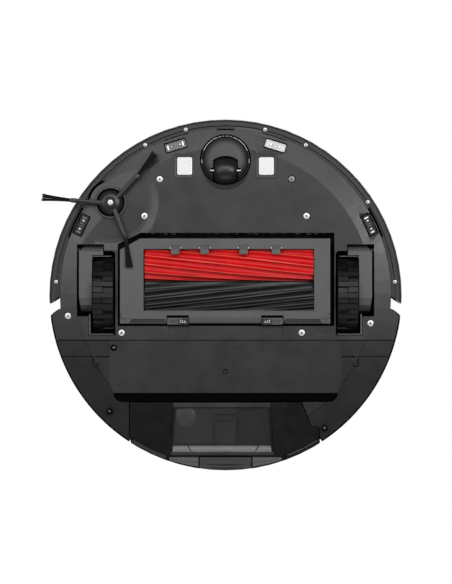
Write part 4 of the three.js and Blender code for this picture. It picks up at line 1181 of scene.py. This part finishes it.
def rear_lip_shape():
    """The case's thin lip round the rear of the wheel."""
    return combine(box(135.4, 136.8, 20.0, 40.6, 11.6, 14.0), box(112.4, 136.8, 39.8, 40.8, 12.2, 14.0))


def case_seam_shape():
    return combine(box(133.8, 146.6, -19.2, -18.7, 10.3, 11.5), box(133.8, 146.6, -14.5, -14.0, 10.3, 11.5))


add_pair("drive_lip", drive_lip_shape(), "frame_grey", "SIDE_drive", round_edges=0.12)
add_pair("drive_rear_lip", rear_lip_shape(), "frame_grey", "SIDE_drive", round_edges=0.12)
add_pair("case_seams", case_seam_shape(), "frame_grey", "SIDE_drive", round_edges=0.1)


# -------- laser turret and deck
TURRET = centre("lidar_cap")[:2]
DECK_BUTTONS = ("power_button", "spot_button", "dock_button")


def round_node(node):
    """The bottom, top and radius of a round upright CAD node."""
    low, high = node_box(node)
    return low[2], high[2], (high[0] - low[0]) / 2


def turret_cap_shape():
    """The cap: a shallow dish with a raised rim, a fine groove and a rounded edge, on four posts."""
    _, top, edge = round_node("lidar_cap")
    profile = [(0, top - 0.35), (30, top - 0.35), (34.2, top - 0.3), (34.8, top - 0.75), (35.4, top - 0.3)]
    profile += [(40, top - 0.05), (43.8, top - 0.15), (45.8, top - 0.6), (edge - 0.7, top - 1.3)]
    profile += [(edge - 0.15, top - 2.1), (edge - 0.1, top - 3.0), (edge - 0.8, top - 3.9)]
    profile += [(edge - 2.2, top - 4.25), (36, top - 4.25), (35, top - 3.9), (0, top - 3.9)]
    post = [(0, 82.5), (2.2, 82.5), (2.5, 82.9), (2.5, 84.5), (1.9, 85.4), (1.9, 91.2), (2.5, 92.0)]
    post += [(2.5, 92.4), (0, 92.4)]
    posts = [lathe(post, 24, place) for place in arc(42, 45, 315, 3, TURRET)]
    return combine(lathe(profile, 120, TURRET), *posts)


def turret_rotor_shape():
    """The turning drum, with a rounded rim and two windows cut into its side."""
    bottom, top, edge = round_node("lidar_rotor")
    x, y = TURRET
    profile = [(0, bottom), (edge - 2, bottom), (edge - 0.6, bottom + 0.3), (edge, bottom + 1.0)]
    profile += [(edge, top - 1.3), (edge - 0.5, top - 0.5), (edge - 1.6, top - 0.1), (0, top)]
    wide = box(x - 7, x + 7, y - 40, y - 24, bottom + 1.2, top - 1.2)
    narrow = box(x + 10, x + 18, y - 40, y - 22, bottom + 1.2, top - 1.2)
    return carved(lathe(profile, 96, TURRET), wide, narrow)


def deck_ring_shape(inner, outer, low, high):
    """A slim ring let into the deck round the turret."""
    profile = [(inner, low), (inner, high - 0.15), (inner + 0.3, high), (outer - 0.3, high)]
    profile += [(outer, high - 0.15), (outer, low), (inner, low)]
    return lathe(profile, 120, TURRET)


def button_shape(node):
    """A dished button with a rounded rim."""
    bottom, top, edge = round_node(node)
    profile = [(0, bottom), (edge, bottom), (edge, top - 0.7), (edge - 0.15, top - 0.3)]
    profile += [(edge - 0.5, top - 0.05), (edge - 1.0, top - 0.02), (edge - 1.6, top - 0.2)]
    profile += [(edge * 0.5, top - 0.4), (0, top - 0.45)]
    return lathe(profile, 64, centre(node)[:2])


def grille_ribs_shape():
    """Fine level ribs behind the exhaust grille's upright slots."""
    low, high = node_box("exhaust_grille")
    levels = [low[2] + 5.2 + 2.2 * k for k in range(7)]
    return combine(*[band(174.6, 175.4, 21.5, 43.5, z, min(z + 0.9, high[2] - 4), 24) for z in levels])


def window_emitters_shape():
    """Small round emitters behind the bumper's window."""
    z = centre("bumper_ir_window")[2]
    lens = lathe([(0, -1.2), (2.4, -1.2), (2.8, -0.7), (2.8, 1.2), (0, 1.2)], 24)
    places = arc(173.2, 252, 288, 4, BUMPER_MIDDLE)
    return combine(*[moved(lens, (x, y, z), 9 * k - 18, (-90, 0)) for k, (x, y) in enumerate(places)])


add_piece("turret_cap", turret_cap_shape(), "cap_plastic", "lidar_cap", ["lidar_cap"])
rotor = turret_rotor_shape()
add_piece("turret_rotor", rotor, "gloss_black", "lidar_rotor", ["lidar_rotor"], round_edges=0.15)
add_piece("turret_trim_ring", deck_ring_shape(45.4, 46.4, 83.7, 84.25), "cap_edge", "chassis")
for button in DECK_BUTTONS:
    add_piece(f"{button}_cap", button_shape(button), "button_plastic", button, [button])
add_piece("grille_ribs", grille_ribs_shape(), "gap_plastic", "chassis")
add_piece("window_emitters", window_emitters_shape(), "lens_dark", "bumper")


# -------- floor, light and camera
def mix_shaders(tree, output_kind, chooser, first, second):
    """Fills a node tree with two shaders, each a kind and its values; the chooser selects the second."""
    factor_kind, factor_name = chooser
    tree.nodes.clear()
    output = tree.nodes.new(output_kind)
    mix = tree.nodes.new("ShaderNodeMixShader")
    factor = tree.nodes.new(factor_kind)
    tree.links.new(factor.outputs[factor_name], mix.inputs["Fac"])
    for number, (kind, values) in enumerate((first, second), 1):
        shader = tree.nodes.new(kind)
        for name, value in values.items():
            shader.inputs[name].default_value = value
        tree.links.new(shader.outputs[0], mix.inputs[number])
    tree.links.new(mix.outputs[0], output.inputs["Surface"])


def make_floor():
    """Seen from above it is a plain floor; from below it isn't there."""
    bpy.ops.mesh.primitive_plane_add(size=12, location=(0, 0, -0.0002))
    floor = bpy.context.object
    floor.name = "floor"
    paper = bpy.data.materials.new("floor_paper")
    paper.use_nodes = True
    plain = ("ShaderNodeBsdfDiffuse", {"Color": (0.86, 0.86, 0.86, 1)})
    clear = ("ShaderNodeBsdfTransparent", {})
    from_below = ("ShaderNodeNewGeometry", "Backfacing")
    mix_shaders(paper.node_tree, "ShaderNodeOutputMaterial", from_below, plain, clear)
    floor.data.materials.append(paper)
    for ray in ("shadow", "diffuse", "glossy", "transmission"):
        setattr(floor, f"visible_{ray}", False)


def make_world(level):
    """A white background that lights the object at a lower level."""
    world = bpy.data.worlds.new("studio")
    world.use_nodes = True
    dim = ("ShaderNodeBackground", {"Color": (1, 1, 1, 1), "Strength": level})
    white = ("ShaderNodeBackground", {"Color": (1, 1, 1, 1), "Strength": 1.0})
    seen = ("ShaderNodeLightPath", "Is Camera Ray")
    mix_shaders(world.node_tree, "ShaderNodeOutputWorld", seen, dim, white)
    bpy.context.scene.world = world


def area_light(name, location, target, size, power, size_y=None):
    data = bpy.data.lights.new(name, "AREA")
    data.shape = "RECTANGLE"
    data.size = size
    data.size_y = size_y or size
    data.energy = power
    light = bpy.data.objects.new(name, data)
    light.location = location
    light.rotation_euler = (Vector(target) - Vector(location)).to_track_quat("-Z", "Y").to_euler()
    light.visible_camera = False
    bpy.context.collection.objects.link(light)


def make_camera():
    """A camera straight below the robot; the view is view_width wide at the plate's distance."""
    sensor_width, plate_distance, view_width = 36, 2.812, 0.4534
    data = bpy.data.cameras.new("camera")
    data.sensor_fit = "HORIZONTAL"
    data.sensor_width = sensor_width
    data.lens = sensor_width * plate_distance / view_width
    camera = bpy.data.objects.new("camera", data)
    camera.location = (0.0005, -0.002, -2.8)
    camera.rotation_euler = (math.pi, 0, 0)
    bpy.context.collection.objects.link(camera)
    bpy.context.scene.camera = camera


make_floor()
make_world(0.15)
area_light("front_panel", (0.0, -0.70, -1.35), (0, -0.05, 0.0), 1.1, 7.6, 0.4)
area_light("left_panel", (-0.80, -0.25, -1.40), (0, 0, 0.0), 0.35, 5.5, 0.9)
area_light("right_panel", (0.80, -0.30, -1.40), (0, 0, 0.0), 0.35, 8.5, 0.7)
area_light("rear_panel", (0.0, 1.5, -0.9), (0, 0.05, 0.0), 1.2, 3, 0.5)
area_light("top_panel", (0.3, -0.8, 1.6), (0, 0, 0.05), 1.4, 30)
area_light("ceiling", (0.0, 0.0, 3.0), (0, 0, 0.0), 5.0, 150)
make_camera()
bpy.context.scene.view_settings.view_transform = "Standard"
